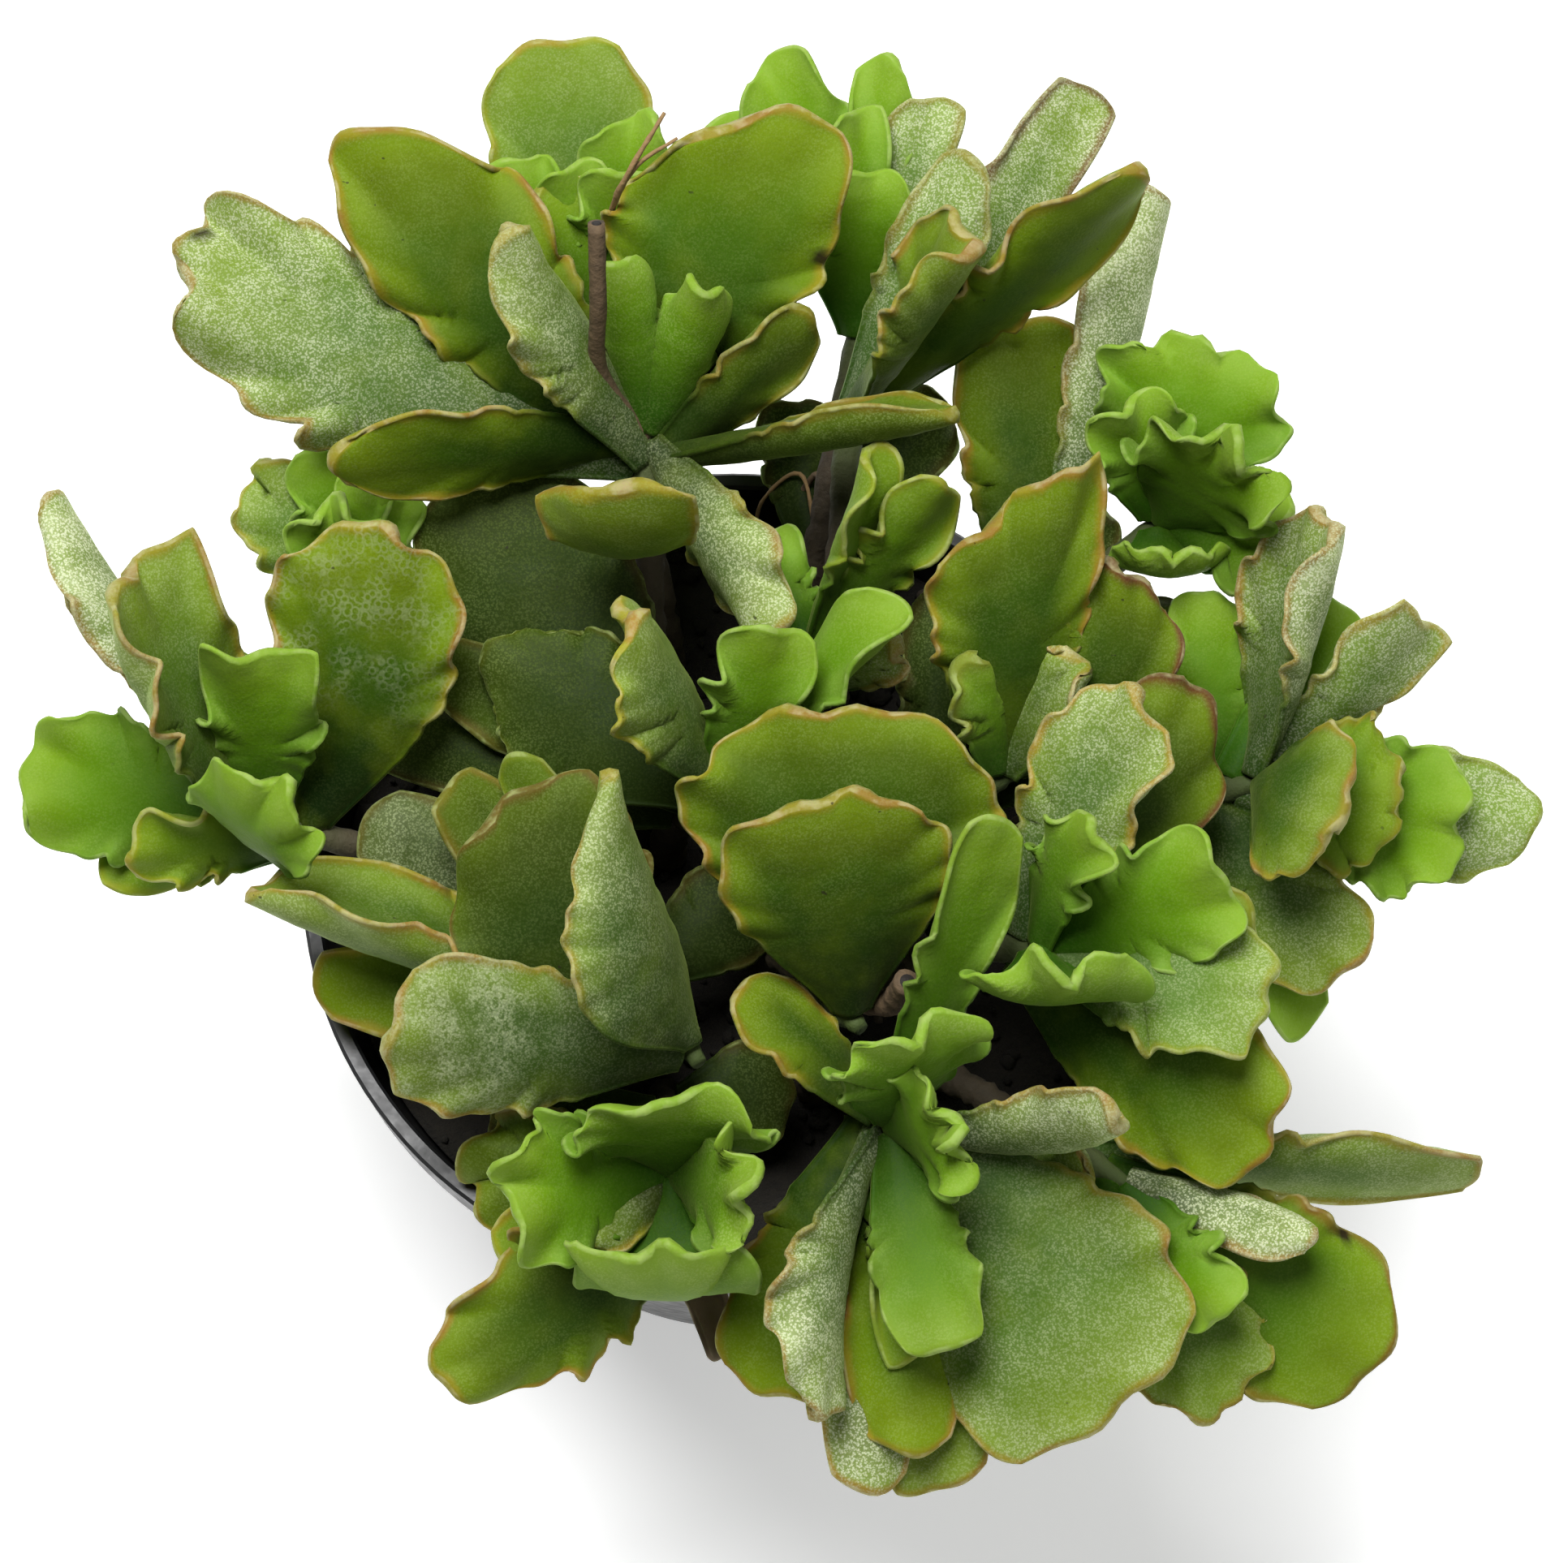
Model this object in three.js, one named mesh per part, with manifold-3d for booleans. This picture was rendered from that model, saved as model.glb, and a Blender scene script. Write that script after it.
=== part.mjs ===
// A crinkle-leaf succulent in a round black nursery pot, in millimetres, +Z up.
// The origin is the middle of the pot's base, which stands on the surface.

import * as THREE from 'three';
import { mergeVertices } from 'three/addons/utils/BufferGeometryUtils.js';
import Module from 'manifold-3d';

const wasm = await Module();
wasm.setup();

// Pot
const POT_HEIGHT = 88;
const POT_TOP_RADIUS = 50.5;
const POT_BASE_RADIUS = 37;
const POT_WALL = 1.6;
const POT_FLOOR = 2.4;
const RIM_RADIUS = 52.5;
const RIM_BAND = 9;
const LIP_OUT = 0.6;
const LIP_HEIGHT = 1.8;
const DRAIN_HOLES = 6;
const DRAIN_RADIUS = 3.5;
const DRAIN_CIRCLE = 25;
const POT_SIDES = 36;
const HOLE_SIDES = 8;

// Soil
const SOIL_HEIGHT = 78;
const SOIL_GAP = 0.55;
const SOIL_RINGS = 4;
const SOIL_SIDES = 24;
const SOIL_LUMPS = 1.4;
const SOIL_SEED = 7;

// Stems
const STEM_DEPTH = 9;
const STEM_SIDES = 6;
const STEM_STEPS = 5;
const STEM_GAP = 0.5;
const STEM_TAPER = 0.25;
const FOOT_LAP = 0.5;
const KNEE_SHARE = 0.6;
const TWIG_SIDES = 5;
const TWIG_STEPS = 4;

// Leaf blades
const PETIOLE_THICKNESS = 3.2;
const PETIOLE_WIDTH = 4.4;
const LEAF_START = 1.4;
const HIGHEST_LEAF = 0.96;
const WIDEST_AT = 0.72;
const FLARE = 1.25;
const TIP_WIDTH = 0.72;
const TIP_ROUND = 0.14;
const ROUND_FROM = 0.4;
const CUP_RATE = 1.6;
const WAVE_CENTRE = 0.42;
const WAVE_FROM = 0.2;
const WAVE_FULL = 0.6;
const TIP_WAVE_FROM = 0.55;
const WAVE_DRIFT = 0.9;
const WAVE_UNEVEN = 0.35;
const SCALLOP_SHARE = 0.6;
const PHASE_STEP = 2.4;
const FULL_THICKNESS_AT = 0.45;
const TIP_THINNING = 0.5;

// How many rows and columns of flats a leaf above a width is made of
const GRIDS = [
  { above: 24, rows: 6, columns: 4 },
  { above: 16, rows: 5, columns: 4 },
  { above: 11, rows: 4, columns: 3 },
  { above: 8, rows: 4, columns: 2 },
  { above: 0, rows: 3, columns: 2 },
];

// Where the plant is looked at from: places below are given as seen from there
const VIEW_ELEVATION = THREE.MathUtils.degToRad(70);
const VIEW_DISTANCE = 550;
const VIEW_MIDDLE = new THREE.Vector3(6.4, 1.9, 113);
const TO_UP = new THREE.Vector3(0, Math.sin(VIEW_ELEVATION), Math.cos(VIEW_ELEVATION));
const TO_NEAR = new THREE.Vector3(0, -Math.cos(VIEW_ELEVATION), Math.sin(VIEW_ELEVATION));
const FACES = { near: TO_NEAR, up: TO_UP, right: new THREE.Vector3(1, 0, 0) };

const MATERIALS = {
  leaf: new THREE.MeshStandardMaterial({ color: 0x6d9a34, roughness: 0.55, metalness: 0 }),
  pot: new THREE.MeshStandardMaterial({ color: 0x151517, roughness: 0.45, metalness: 0 }),
  soil: new THREE.MeshStandardMaterial({ color: 0x2c211a, roughness: 0.95, metalness: 0 }),
};

// A leaf is given by where it leaves the stem (0 at the soil, 1 at the crown), where its tip is seen
// (right, up, nearer), its width, and how it is turned, curled, cupped, twisted, waved and ended.
const mature = (at, tip, width, form = {}) => ({ at, tip, width, thick: 4.2, wave: 1, crests: 9, ...form });
const young = (at, tip, width, form = {}) => ({ at, tip, width, thick: 2.6, wave: 1.4, crests: 9, ...form });

const SHOOTS = [
  {
    name: 'shoot_back_left',
    root: [-8, 30],
    crown: [-22, 57, -26],
    girth: 4,
    leaves: [
      mature(0.9, [-27, 87.3, -27], 21, { curl: 2, cup: 14, wave: 0.8 }),
      mature(0.8, [-28.5, 70, -17], 14, { turn: 20, cup: 25 }),
      young(0.95, [-33, 73, -21], 10, { cup: 20 }),
      young(1, [-25, 73, -17], 9, { cup: 20 }),
      young(1, [-17, 78, -20], 12, { cup: 20 }),
      young(1, [-19, 72, -14], 10, { cup: 20 }),
    ],
  },
  {
    name: 'shoot_upper_left',
    root: [-10, 18],
    crown: [-16, 43, -16],
    girth: 4.6,
    leaves: [
      mature(0.9, [-71.5, 63, -13], 24, { turn: 12, wave: 1.8, crests: 13, sway: -3, skew: 1, blunt: 0.55 }),
      mature(0.92, [-47, 76.5, -10], 21, { wave: 1.3, sway: -2, skew: -6, round: 0.2 }),
      mature(0.95, [-2.5, 79, -8], 27, { wave: 1.2, curl: 1, skew: 6, round: 0.22 }),
      mature(0.9, [-32.5, 65, 2], 18, { turn: -120, cup: 50, twist: 20, wave: 1.1 }),
      mature(0.95, [-53.5, 38, -4], 14, { turn: -45, cup: 25, sway: 1, blunt: 0.5, round: 0.2, wave: 0.4 }),
      mature(0.85, [-20.5, 34.5, 8], 20, { faces: 'up', curl: 6, skew: -4, widest: 0.96, wave: 0.3 }),
      mature(1, [-1, 17.5, -4], 14, { turn: -130, cup: 40, wave: 1.4 }),
      young(1, [-20, 61, -3], 12, { turn: 165, cup: 120, wave: 0.7 }),
      young(1, [-8.5, 58, -3], 13, { turn: -165, cup: 115, wave: 0.8 }),
      mature(0.9, [3, 55, -13], 11, { turn: 45, cup: 30, wave: 0.6 }),
      mature(0.92, [20.5, 43, -3], 14, { turn: -80, cup: 60, sway: 1, blunt: 0.35, wave: 0.4 }),
    ],
    twigs: [{ at: 0.95, path: [[-21.5, 48, -8], [-21.8, 56, 0], [-22, 65.5, 6]], girth: 2 }],
  },
  {
    name: 'shoot_back',
    root: [9, 33],
    crown: [10, 58, -28],
    girth: 4,
    leaves: [
      young(1, [-1.5, 85, -28], 13, { cup: 20 }),
      young(1, [-8, 78, -27], 9, { cup: 20 }),
      young(1, [8, 79.5, -22], 9, { cup: 30, turn: 15 }),
      young(1, [12, 84.5, -28], 9, { cup: 25 }),
      young(0.9, [9, 72, -20], 15, { cup: 15 }),
      mature(0.95, [18, 80.5, -27], 10, { cup: 20 }),
      mature(0.4, [18.5, 45, -36], 11),
      mature(0.4, [1, 45, -38], 10),
    ],
    twigs: [
      { at: 0.5, path: [[4, 36, -31], [1, 32, -36], [0, 28, -42]], girth: 0.9 },
      { at: 0.55, path: [[5, 37, -30], [4, 33, -34], [5, 29, -42]], girth: 0.9 },
    ],
  },
  {
    name: 'shoot_upper_right',
    root: [12, 20],
    crown: [8, 46, -24],
    girth: 4.4,
    leaves: [
      mature(1, [36, 81, -42], 12, { turn: 25, cup: 20, wave: 1.2 }),
      mature(0.95, [42.5, 72.5, -6], 15, { turn: 55, cup: 20, wave: 1.2, blunt: 0.55, round: 0.2 }),
      mature(1, [22.5, 64, -6], 20, { turn: -75, cup: 70, wave: 1 }),
      mature(0.95, [22.5, 73, -15], 11, { turn: -20, cup: 20 }),
    ],
  },
  {
    name: 'shoot_right_back',
    root: [27, 20],
    crown: [46, 32, -22],
    girth: 4,
    leaves: [
      mature(0.6, [27.5, 54.5, -25], 16, { turn: 8, wave: 0.9, round: 0.08, blunt: 0.85 }),
      mature(0.65, [43.5, 69, -28], 15, { turn: -125, cup: 35, wave: 1.1 }),
      young(0.95, [50, 51.5, -20], 24, { cup: 15, wave: 1.5, round: 0.1 }),
      young(1, [40.5, 45, -12], 13, { cup: 15, turn: 10 }),
      young(1, [53, 39.5, -2], 20, { cup: 30, wave: 2, turn: 10 }),
      young(1, [59.5, 29, -14], 14, { cup: 20 }),
      young(0.95, [46.5, 26.5, -12], 16, { faces: 'up', curl: 3, cup: 20 }),
      mature(0.5, [37, 33, -22], 10),
      mature(0.6, [47, 17, -24], 10),
    ],
  },
  {
    name: 'shoot_dark_right',
    root: [17, 2],
    crown: [27, 1, -10],
    girth: 4.4,
    leaves: [
      mature(0.95, [27.5, 33, 2], 20, { turn: 10, cup: 12, skew: 7, round: 0.02, blunt: 0.95 }),
      mature(0.95, [41, 24.5, -4], 17, { turn: 15, sway: 4 }),
      mature(0.95, [34.5, 15.5, -3], 12, { turn: -40, cup: 40, blunt: 0.4 }),
      mature(1, [21.5, 14.5, -2], 9, { turn: 30, cup: 25 }),
      mature(0.6, [20, 23, -18], 10),
      mature(0.7, [39, 8, -16], 10),
    ],
  },
  {
    name: 'shoot_right',
    root: [32, 5],
    crown: [58, 0, -14],
    girth: 4.2,
    leaves: [
      mature(0.95, [64.5, 31, -6], 20, { turn: -68, cup: 75, wave: 1.1 }),
      mature(0.95, [75, 19.5, -10], 12, { turn: 40, cup: 15, blunt: 0.95, round: 0.05 }),
      mature(1, [65.5, -4.5, 1], 20, { curl: -2, cup: 6, round: 0.16, blunt: 0.8, wave: 0.4 }),
      mature(0.95, [72.5, -2, -9], 19, { curl: -1, cup: -10, round: 0.15, wave: 0.8 }),
      young(0.95, [80, -6, -14], 19, { cup: 10 }),
      mature(0.9, [88, -5, -20], 15, { wave: 1.2 }),
      mature(0.85, [66, -23, -14], 15),
      young(0.85, [62, -29, -20], 9),
      young(0.85, [51, 22, -19], 14, { cup: 10 }),
      young(0.9, [66, 21.5, -18], 8),
    ],
  },
  {
    name: 'shoot_left_back',
    root: [-24, 14],
    crown: [-52, 21, -20],
    girth: 4,
    leaves: [
      mature(0.95, [-61, 37, -23], 14, { cup: 15 }),
      young(1, [-54, 39.5, -18], 10, { cup: 20 }),
      young(1, [-54, 32.5, -10], 12, { cup: 45 }),
      young(1, [-49.5, 36, -14], 7, { cup: 25 }),
      young(1, [-44.5, 34, -16], 7, { cup: 25 }),
    ],
  },
  {
    name: 'shoot_left',
    root: [-32, 0],
    crown: [-63, -5, -14],
    girth: 4.2,
    leaves: [
      mature(0.95, [-86.5, 32.5, -14], 19, { turn: -85, cup: 65, blunt: 0.4, round: 0.2 }),
      mature(1, [-77.5, 24.5, 0], 23, { turn: 56, cup: 60, sway: -3, wave: 1.3, round: 0.05, blunt: 0.9 }),
      young(0.95, [-90, 2, -18], 18, { cup: 10, round: 0.22, blunt: 0.68 }),
      young(1, [-67.5, 17.5, -10], 8),
      young(1, [-61.5, 15.5, 2], 14, { cup: 12, round: 0.05, blunt: 0.9 }),
      young(1, [-59.5, -0.5, 7], 17, { curl: -4, cup: 15, wave: 1.1, round: 0.1 }),
      young(0.85, [-77, -7.5, -9], 11, { turn: -30, cup: 30 }),
      young(0.85, [-81, -9, -20], 9),
      mature(0.85, [-49.5, 30, -3], 23, { wave: 1, cup: 10, sway: 3, skew: 2, round: 0.12, blunt: 0.72 }),
    ],
  },
  {
    name: 'shoot_middle_left',
    root: [-14, -10],
    crown: [-10, -33, -2],
    girth: 4.6,
    leaves: [
      mature(0.95, [-33, -2, 2], 27, { wave: 1, sway: -4, skew: 0.5, round: 0.18 }),
      mature(1, [-21.5, 2, 13], 28, { turn: -112, cup: 50, sway: 3, widest: 0.35, blunt: 0.15, wave: 0.8 }),
      mature(1, [-46.5, -29.5, 9], 19, { turn: -10, cup: -15, wave: 1.1, round: 0.12, blunt: 0.8 }),
      mature(0.85, [-63.5, -13.5, -2], 22, { turn: 72, cup: 72, blunt: 0.5 }),
      mature(0.75, [-55, -24, -10], 11),
      mature(0.6, [-49, -4, -16], 13, { wave: 0.3 }),
      mature(0.7, [-40, 0, -8], 11, { turn: 20 }),
      young(0.8, [-31.5, 2.5, -6], 8),
      mature(0.55, [-2, -12, -16], 13, { wave: 0.3 }),
    ],
  },
  {
    name: 'shoot_middle_back',
    root: [-8, 5],
    crown: [-7, -2, -6],
    girth: 4.4,
    leaves: [
      mature(0.6, [-38, 37, -18], 24, { wave: 0.5 }),
      mature(0.85, [-35, 16, -12], 20, { wave: 0.4, crests: 15, widest: 0.58, blunt: 0.5, round: 0.26 }),
      mature(1, [-18, 20.5, 3], 24, { turn: -112, cup: 40, twist: 30, wave: 1.1 }),
      mature(0.8, [-41, 14, -16], 11),
      young(1, [-0.5, 18.5, 4], 12, { turn: 15, cup: 25, wave: 1.5 }),
      young(1, [13.5, 22.5, -1], 10, { turn: -45, cup: 20, blunt: 0.6 }),
      mature(0.6, [-49, 6, -20], 10),
      mature(0.6, [-30, 1, -18], 10),
    ],
  },
  {
    name: 'shoot_middle_young',
    root: [6, 11],
    crown: [4, 17, -14],
    girth: 3.6,
    leaves: [
      young(1, [11, 38.5, -3], 11, { turn: 60, cup: 55, wave: 1.2 }),
      young(0.95, [19, 35.5, -6], 10, { turn: 40, cup: 15, wave: 1.6 }),
      young(0.9, [-2, 30, -17], 7),
      mature(0.8, [13, 16.5, -6], 9, { turn: 30, cup: 20 }),
    ],
  },
  {
    name: 'shoot_middle',
    root: [4, -9],
    crown: [9, -29, 0],
    girth: 4.6,
    leaves: [
      mature(0.9, [6.5, 8.8, 4], 37, { wave: 1.2, cup: 8, round: 0.12, blunt: 0.8 }),
      mature(1, [5, -1.8, 14], 27, { wave: 1.4, crests: 8, cup: 8, round: 0.1, blunt: 0.8 }),
    ],
    twigs: [{ at: 0.8, path: [[12, -26, -2], [14.5, -23.5, 4]], girth: 3.2 }],
  },
  {
    name: 'shoot_middle_right',
    root: [19, -12],
    crown: [31, -20, 3],
    girth: 4.2,
    leaves: [
      young(1, [37, -5.5, 15], 11, { turn: -45, cup: 20, sway: -2 }),
      young(1, [52.5, -11.5, 10], 16, { turn: 10, cup: 15, round: 0.1 }),
      young(1, [33, -22, 19], 21, { faces: 'up', curl: 4, cup: 15, wave: 1.7, crests: 6 }),
      mature(0.95, [57, -26, 8], 18, { turn: -15, cup: 20, wave: 1.1, round: 0.1 }),
      mature(0.9, [56, -17, 2], 11),
      mature(0.9, [41, 10.5, 4], 16, { turn: -20, cup: 25, wave: 1.3 }),
      mature(0.8, [50.5, 8, -4], 18, { turn: 15, skew: -3 }),
      mature(0.85, [57, -43, 3], 20, { turn: 10 }),
      mature(0.5, [36, -4, -14], 10),
    ],
  },
  {
    name: 'shoot_front',
    root: [10, -25],
    crown: [13, -41, 4],
    girth: 4.6,
    leaves: [
      young(1, [16.5, -29, 20], 20, { faces: 'up', turn: 17, cup: 10, wave: 1.6 }),
      young(1, [20, -41, 18], 17, { turn: 20, cup: 15, wave: 1.6 }),
      young(1, [19, -67, 15], 12, { cup: -15, wave: 1.5, crests: 12 }),
      young(0.9, [14.5, -69, 8], 6),
      young(1, [25, -4, 14], 11, { turn: 35, cup: 40 }),
      mature(0.95, [-5.5, -24, 2], 12, { turn: 45, cup: 20, wave: 0.5 }),
      mature(1, [39.5, -39.5, 20], 15, { turn: -115, cup: 45, sway: -5, wave: 0.7, blunt: 0.6 }),
      mature(0.9, [5, -75, 11], 20, { turn: 105, cup: 50, twist: 25, curl: -2, sway: -2, blunt: 0.5 }),
      mature(0.85, [-2, -72.5, 2], 17, { cup: -15 }),
      mature(0.8, [10, -83, 3], 12),
      mature(0.9, [40, -73.5, 7], 33, { wave: 1, cup: -8, round: 0.1, blunt: 0.8 }),
      mature(0.8, [19, -83.5, 1], 15),
      mature(0.85, [15, -79, 5], 13),
    ],
  },
  {
    name: 'shoot_front_left',
    root: [-8, -27],
    crown: [-13, -47, 2],
    girth: 4.2,
    leaves: [
      young(1, [-13, -37, 20], 24, { faces: 'up', cup: -20, wave: 1.5, crests: 7 }),
      young(1, [-4, -48, 20], 16, { faces: 'right', cup: -15, wave: 1.6 }),
      young(1, [-16, -55.5, 20], 22, { faces: 'up', curl: 9, cup: 12, wave: 1.5, crests: 7 }),
      young(1, [-33, -49, 15], 18, { cup: 15, wave: 1.6 }),
      mature(1, [-23.5, -54.5, 8], 7, { cup: 10, wave: 0.1, blunt: 0.4 }),
      young(0.9, [-34, -56, 0], 8),
      mature(0.85, [-37.5, -47, -6], 15, { wave: 1.5 }),
      mature(0.85, [-40.5, -71, 2], 18, { turn: -15, wave: 1.3, sway: -3, widest: 0.5, blunt: 0.45 }),
      mature(0.6, [-35, -40, -12], 10),
      mature(0.5, [1, -36, -15], 13, { wave: 0.3 }),
    ],
  },
  {
    name: 'shoot_front_right',
    root: [22, -23],
    crown: [41, -48, -1],
    girth: 4.2,
    leaves: [
      mature(0.85, [81.5, -45.5, -12], 13, { turn: 50, cup: 20, wave: 0.7, blunt: 0.6, round: 0.06 }),
      mature(1, [62.5, -54, 3], 8.5, { turn: 140, cup: 30, wave: 0.3, blunt: 0.4, round: 0.1 }),
      mature(0.7, [35.5, -48, 2], 10, { turn: 30, cup: 30, wave: 0.5, blunt: 0.45 }),
      mature(0.9, [70, -69, -6], 23, { round: 0.2 }),
      mature(0.95, [52, -73.5, -4], 18),
      young(1, [52, -63, 5], 10, { turn: 20, cup: 15, wave: 1.5 }),
      young(0.95, [36.5, -51.5, 1], 11, { cup: 10 }),
    ],
  },
];

// Geometry helpers

function seen([right, up, near]) {
  const spread = (VIEW_DISTANCE - near) / VIEW_DISTANCE;
  return VIEW_MIDDLE.clone()
    .add(new THREE.Vector3(right * spread, 0, 0))
    .addScaledVector(TO_UP, up * spread)
    .addScaledVector(TO_NEAR, near);
}

function toSolid(geometry) {
  const plain = geometry.clone();
  plain.deleteAttribute('normal');
  plain.deleteAttribute('uv');
  const merged = mergeVertices(plain, 1e-4);
  return new wasm.Manifold(new wasm.Mesh({
    numProp: 3,
    vertProperties: new Float32Array(merged.attributes.position.array),
    triVerts: new Uint32Array(merged.index.array),
  }));
}

function fromSolid(solid) {
  const mesh = solid.getMesh();
  const geometry = new THREE.BufferGeometry();
  geometry.setAttribute('position', new THREE.BufferAttribute(new Float32Array(mesh.vertProperties), 3));
  geometry.setIndex(new THREE.BufferAttribute(new Uint32Array(mesh.triVerts), 1));
  return geometry;
}

// Pieces fused into one body, without the small hollows that they may close off between them
function joinAll(solids) {
  const bodies = solids.reduce((whole, piece) => whole.add(piece)).decompose();
  return bodies.reduce((largest, body) => (body.volume() > largest.volume() ? body : largest));
}

function indexed(points, triangles) {
  const geometry = new THREE.BufferGeometry().setFromPoints(points);
  geometry.setIndex(triangles.flat());
  return geometry;
}

// A round rod along a curve, closed at both ends, whose radius may change along it
function rod(curve, radiusAt, sides, steps) {
  const frames = curve.computeFrenetFrames(steps, false);
  const points = [];
  const triangles = [];
  for (let i = 0; i <= steps; i++) {
    const centre = curve.getPointAt(i / steps);
    for (let k = 0; k < sides; k++) {
      const angle = (2 * Math.PI * k) / sides;
      points.push(centre.clone()
        .addScaledVector(frames.normals[i], Math.cos(angle) * radiusAt(i / steps))
        .addScaledVector(frames.binormals[i], Math.sin(angle) * radiusAt(i / steps)));
    }
  }
  for (let i = 0; i < steps; i++) {
    for (let k = 0; k < sides; k++) {
      const a = i * sides + k;
      const b = i * sides + (k + 1) % sides;
      triangles.push([a, b, b + sides], [a, b + sides, a + sides]);
    }
  }
  for (let k = 1; k < sides - 1; k++) {
    const last = steps * sides;
    triangles.push([0, k + 1, k], [last, last + k, last + k + 1]);
  }
  return toSolid(indexed(points, triangles));
}

// Leaf blade

function halfWidth(leaf, s) {
  const half = leaf.width / 2;
  const widest = leaf.widest ?? WIDEST_AT;
  if (s < widest) {
    const foot = Math.min(1, PETIOLE_WIDTH / leaf.width);
    const rise = Math.sin((Math.PI / 2) * Math.max(0, s / widest)) ** FLARE;
    return half * THREE.MathUtils.lerp(foot, 1, rise);
  }
  const past = (s - widest) / (1 - widest);
  return half * (1 - (1 - (leaf.blunt ?? TIP_WIDTH)) * past ** 2);
}

function bladeFrame(base, tip, leaf, s) {
  const axis = tip.clone().sub(base).normalize();
  const towards = FACES[leaf.faces ?? 'near'];
  const facing = towards.clone().addScaledVector(axis, -towards.dot(axis)).normalize();
  const side = axis.clone().cross(facing);
  const turn = THREE.MathUtils.degToRad((leaf.turn ?? 0) + (leaf.twist ?? 0) * (s - 0.5));
  return {
    axis,
    across: side.clone().multiplyScalar(Math.cos(turn)).addScaledVector(facing, -Math.sin(turn)),
    out: facing.clone().multiplyScalar(Math.cos(turn)).addScaledVector(side, Math.sin(turn)),
  };
}

// How far across and up a point at c lies on an arc that bends by cup radians from middle to edge
function arc(cup, c) {
  if (Math.abs(cup) < 1e-4) return [c, 0];
  return [Math.sin(c * cup) / cup, (1 - Math.cos(c * cup)) / cup];
}

// The blade's middle surface: s runs from the stem to the tip, c across from edge to edge
function bladePoint(base, tip, leaf, s, c) {
  const { axis, across, out } = bladeFrame(base, tip, leaf, s);
  const length = base.distanceTo(tip);
  const half = halfWidth(leaf, s);
  const bow = 4 * s * (1 - s);
  const cup = THREE.MathUtils.degToRad(leaf.cup ?? 0) * Math.min(1, CUP_RATE * s);
  const [over, lift] = arc(cup, c);
  const pastRound = Math.max(0, (s - ROUND_FROM) / (1 - ROUND_FROM));
  const round = (leaf.round ?? TIP_ROUND) * leaf.width * pastRound ** 1.5 * c ** 2;
  const nearTip = Math.max(0, (s - TIP_WAVE_FROM) / (1 - TIP_WAVE_FROM)) ** 2;
  const atEdge = THREE.MathUtils.lerp(Math.abs(c) ** 3, 1, nearTip);
  const angle = Math.atan2(c * half, (s - WAVE_CENTRE) * length);
  const phase = leaf.crests * angle + leaf.phase + WAVE_DRIFT * Math.sin(2 * angle + leaf.phase);
  const uneven = 1 + WAVE_UNEVEN * Math.sin(3 * angle - leaf.phase);
  const waved = leaf.wave * uneven * atEdge * THREE.MathUtils.smoothstep(s, WAVE_FROM, WAVE_FULL);
  const wave = waved * Math.sin(phase);
  const scallop = SCALLOP_SHARE * waved * Math.cos(phase);
  const skew = (leaf.skew ?? 0) * c * s ** 2;
  const along = s * length - round + scallop * Math.cos(angle) + skew;
  const bend = (leaf.sway ?? 0) * bow;
  const sideways = over * half + bend + scallop * Math.sin(angle) - wave * Math.sin(c * cup);
  const height = lift * half - (leaf.curl ?? 0) * bow + wave * Math.cos(c * cup);
  return base.clone()
    .addScaledVector(axis, along)
    .addScaledVector(across, sideways)
    .addScaledVector(out, height);
}

function bladeNormal(base, tip, leaf, s, c) {
  const step = 0.01;
  const along = bladePoint(base, tip, leaf, s + step, c).sub(bladePoint(base, tip, leaf, s - step, c));
  const across = bladePoint(base, tip, leaf, s, c + step).sub(bladePoint(base, tip, leaf, s, c - step));
  return across.cross(along).normalize();
}

function bladeThickness(leaf, s, c) {
  const grown = THREE.MathUtils.smoothstep(s, 0, FULL_THICKNESS_AT);
  const body = THREE.MathUtils.lerp(PETIOLE_THICKNESS, leaf.thick, grown);
  return body * (1 - c ** 2) * (1 - TIP_THINNING * s ** 4);
}

// A leaf is two like faces that meet in the edge, with a small flat end inside the stem
function leafSolid(base, leaf) {
  const tip = seen(leaf.tip);
  const { rows, columns } = GRIDS.find((grid) => leaf.width > grid.above);
  const points = [];
  const faces = [1, -1].map((sign) => {
    const numbers = [];
    for (let i = 0; i <= rows; i++) {
      for (let j = 0; j <= columns; j++) {
        const s = i / rows;
        const c = (2 * j) / columns - 1;
        const isEdge = j === 0 || j === columns || i === rows;
        const half = isEdge ? 0 : (sign * bladeThickness(leaf, s, c)) / 2;
        const middle = bladePoint(base, tip, leaf, s, c);
        points.push(middle.addScaledVector(bladeNormal(base, tip, leaf, s, c), half));
        numbers.push(points.length - 1);
      }
    }
    return (i, j) => numbers[i * (columns + 1) + j];
  });
  const [upper, lower] = faces;
  const triangles = [];
  for (let i = 0; i < rows; i++) {
    for (let j = 0; j < columns; j++) {
      const corners = [[i, j], [i, j + 1], [i + 1, j + 1], [i + 1, j]];
      const [a, b, c, d] = corners.map(([m, n]) => upper(m, n));
      const [e, f, g, h] = corners.map(([m, n]) => lower(m, n));
      if (j < columns / 2) {
        triangles.push([a, b, d], [b, c, d], [e, h, f], [f, h, g]);
      } else {
        triangles.push([a, b, c], [a, c, d], [e, g, f], [e, h, g]);
      }
    }
  }
  for (let j = 0; j < columns; j++) {
    const [a, b, c, d] = [upper(0, j), lower(0, j), lower(0, j + 1), upper(0, j + 1)];
    if (j > 0) triangles.push([a, b, c]);
    if (j < columns - 1) triangles.push([a, c, d]);
  }
  return toSolid(indexed(points, triangles));
}

// Shoots

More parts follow.
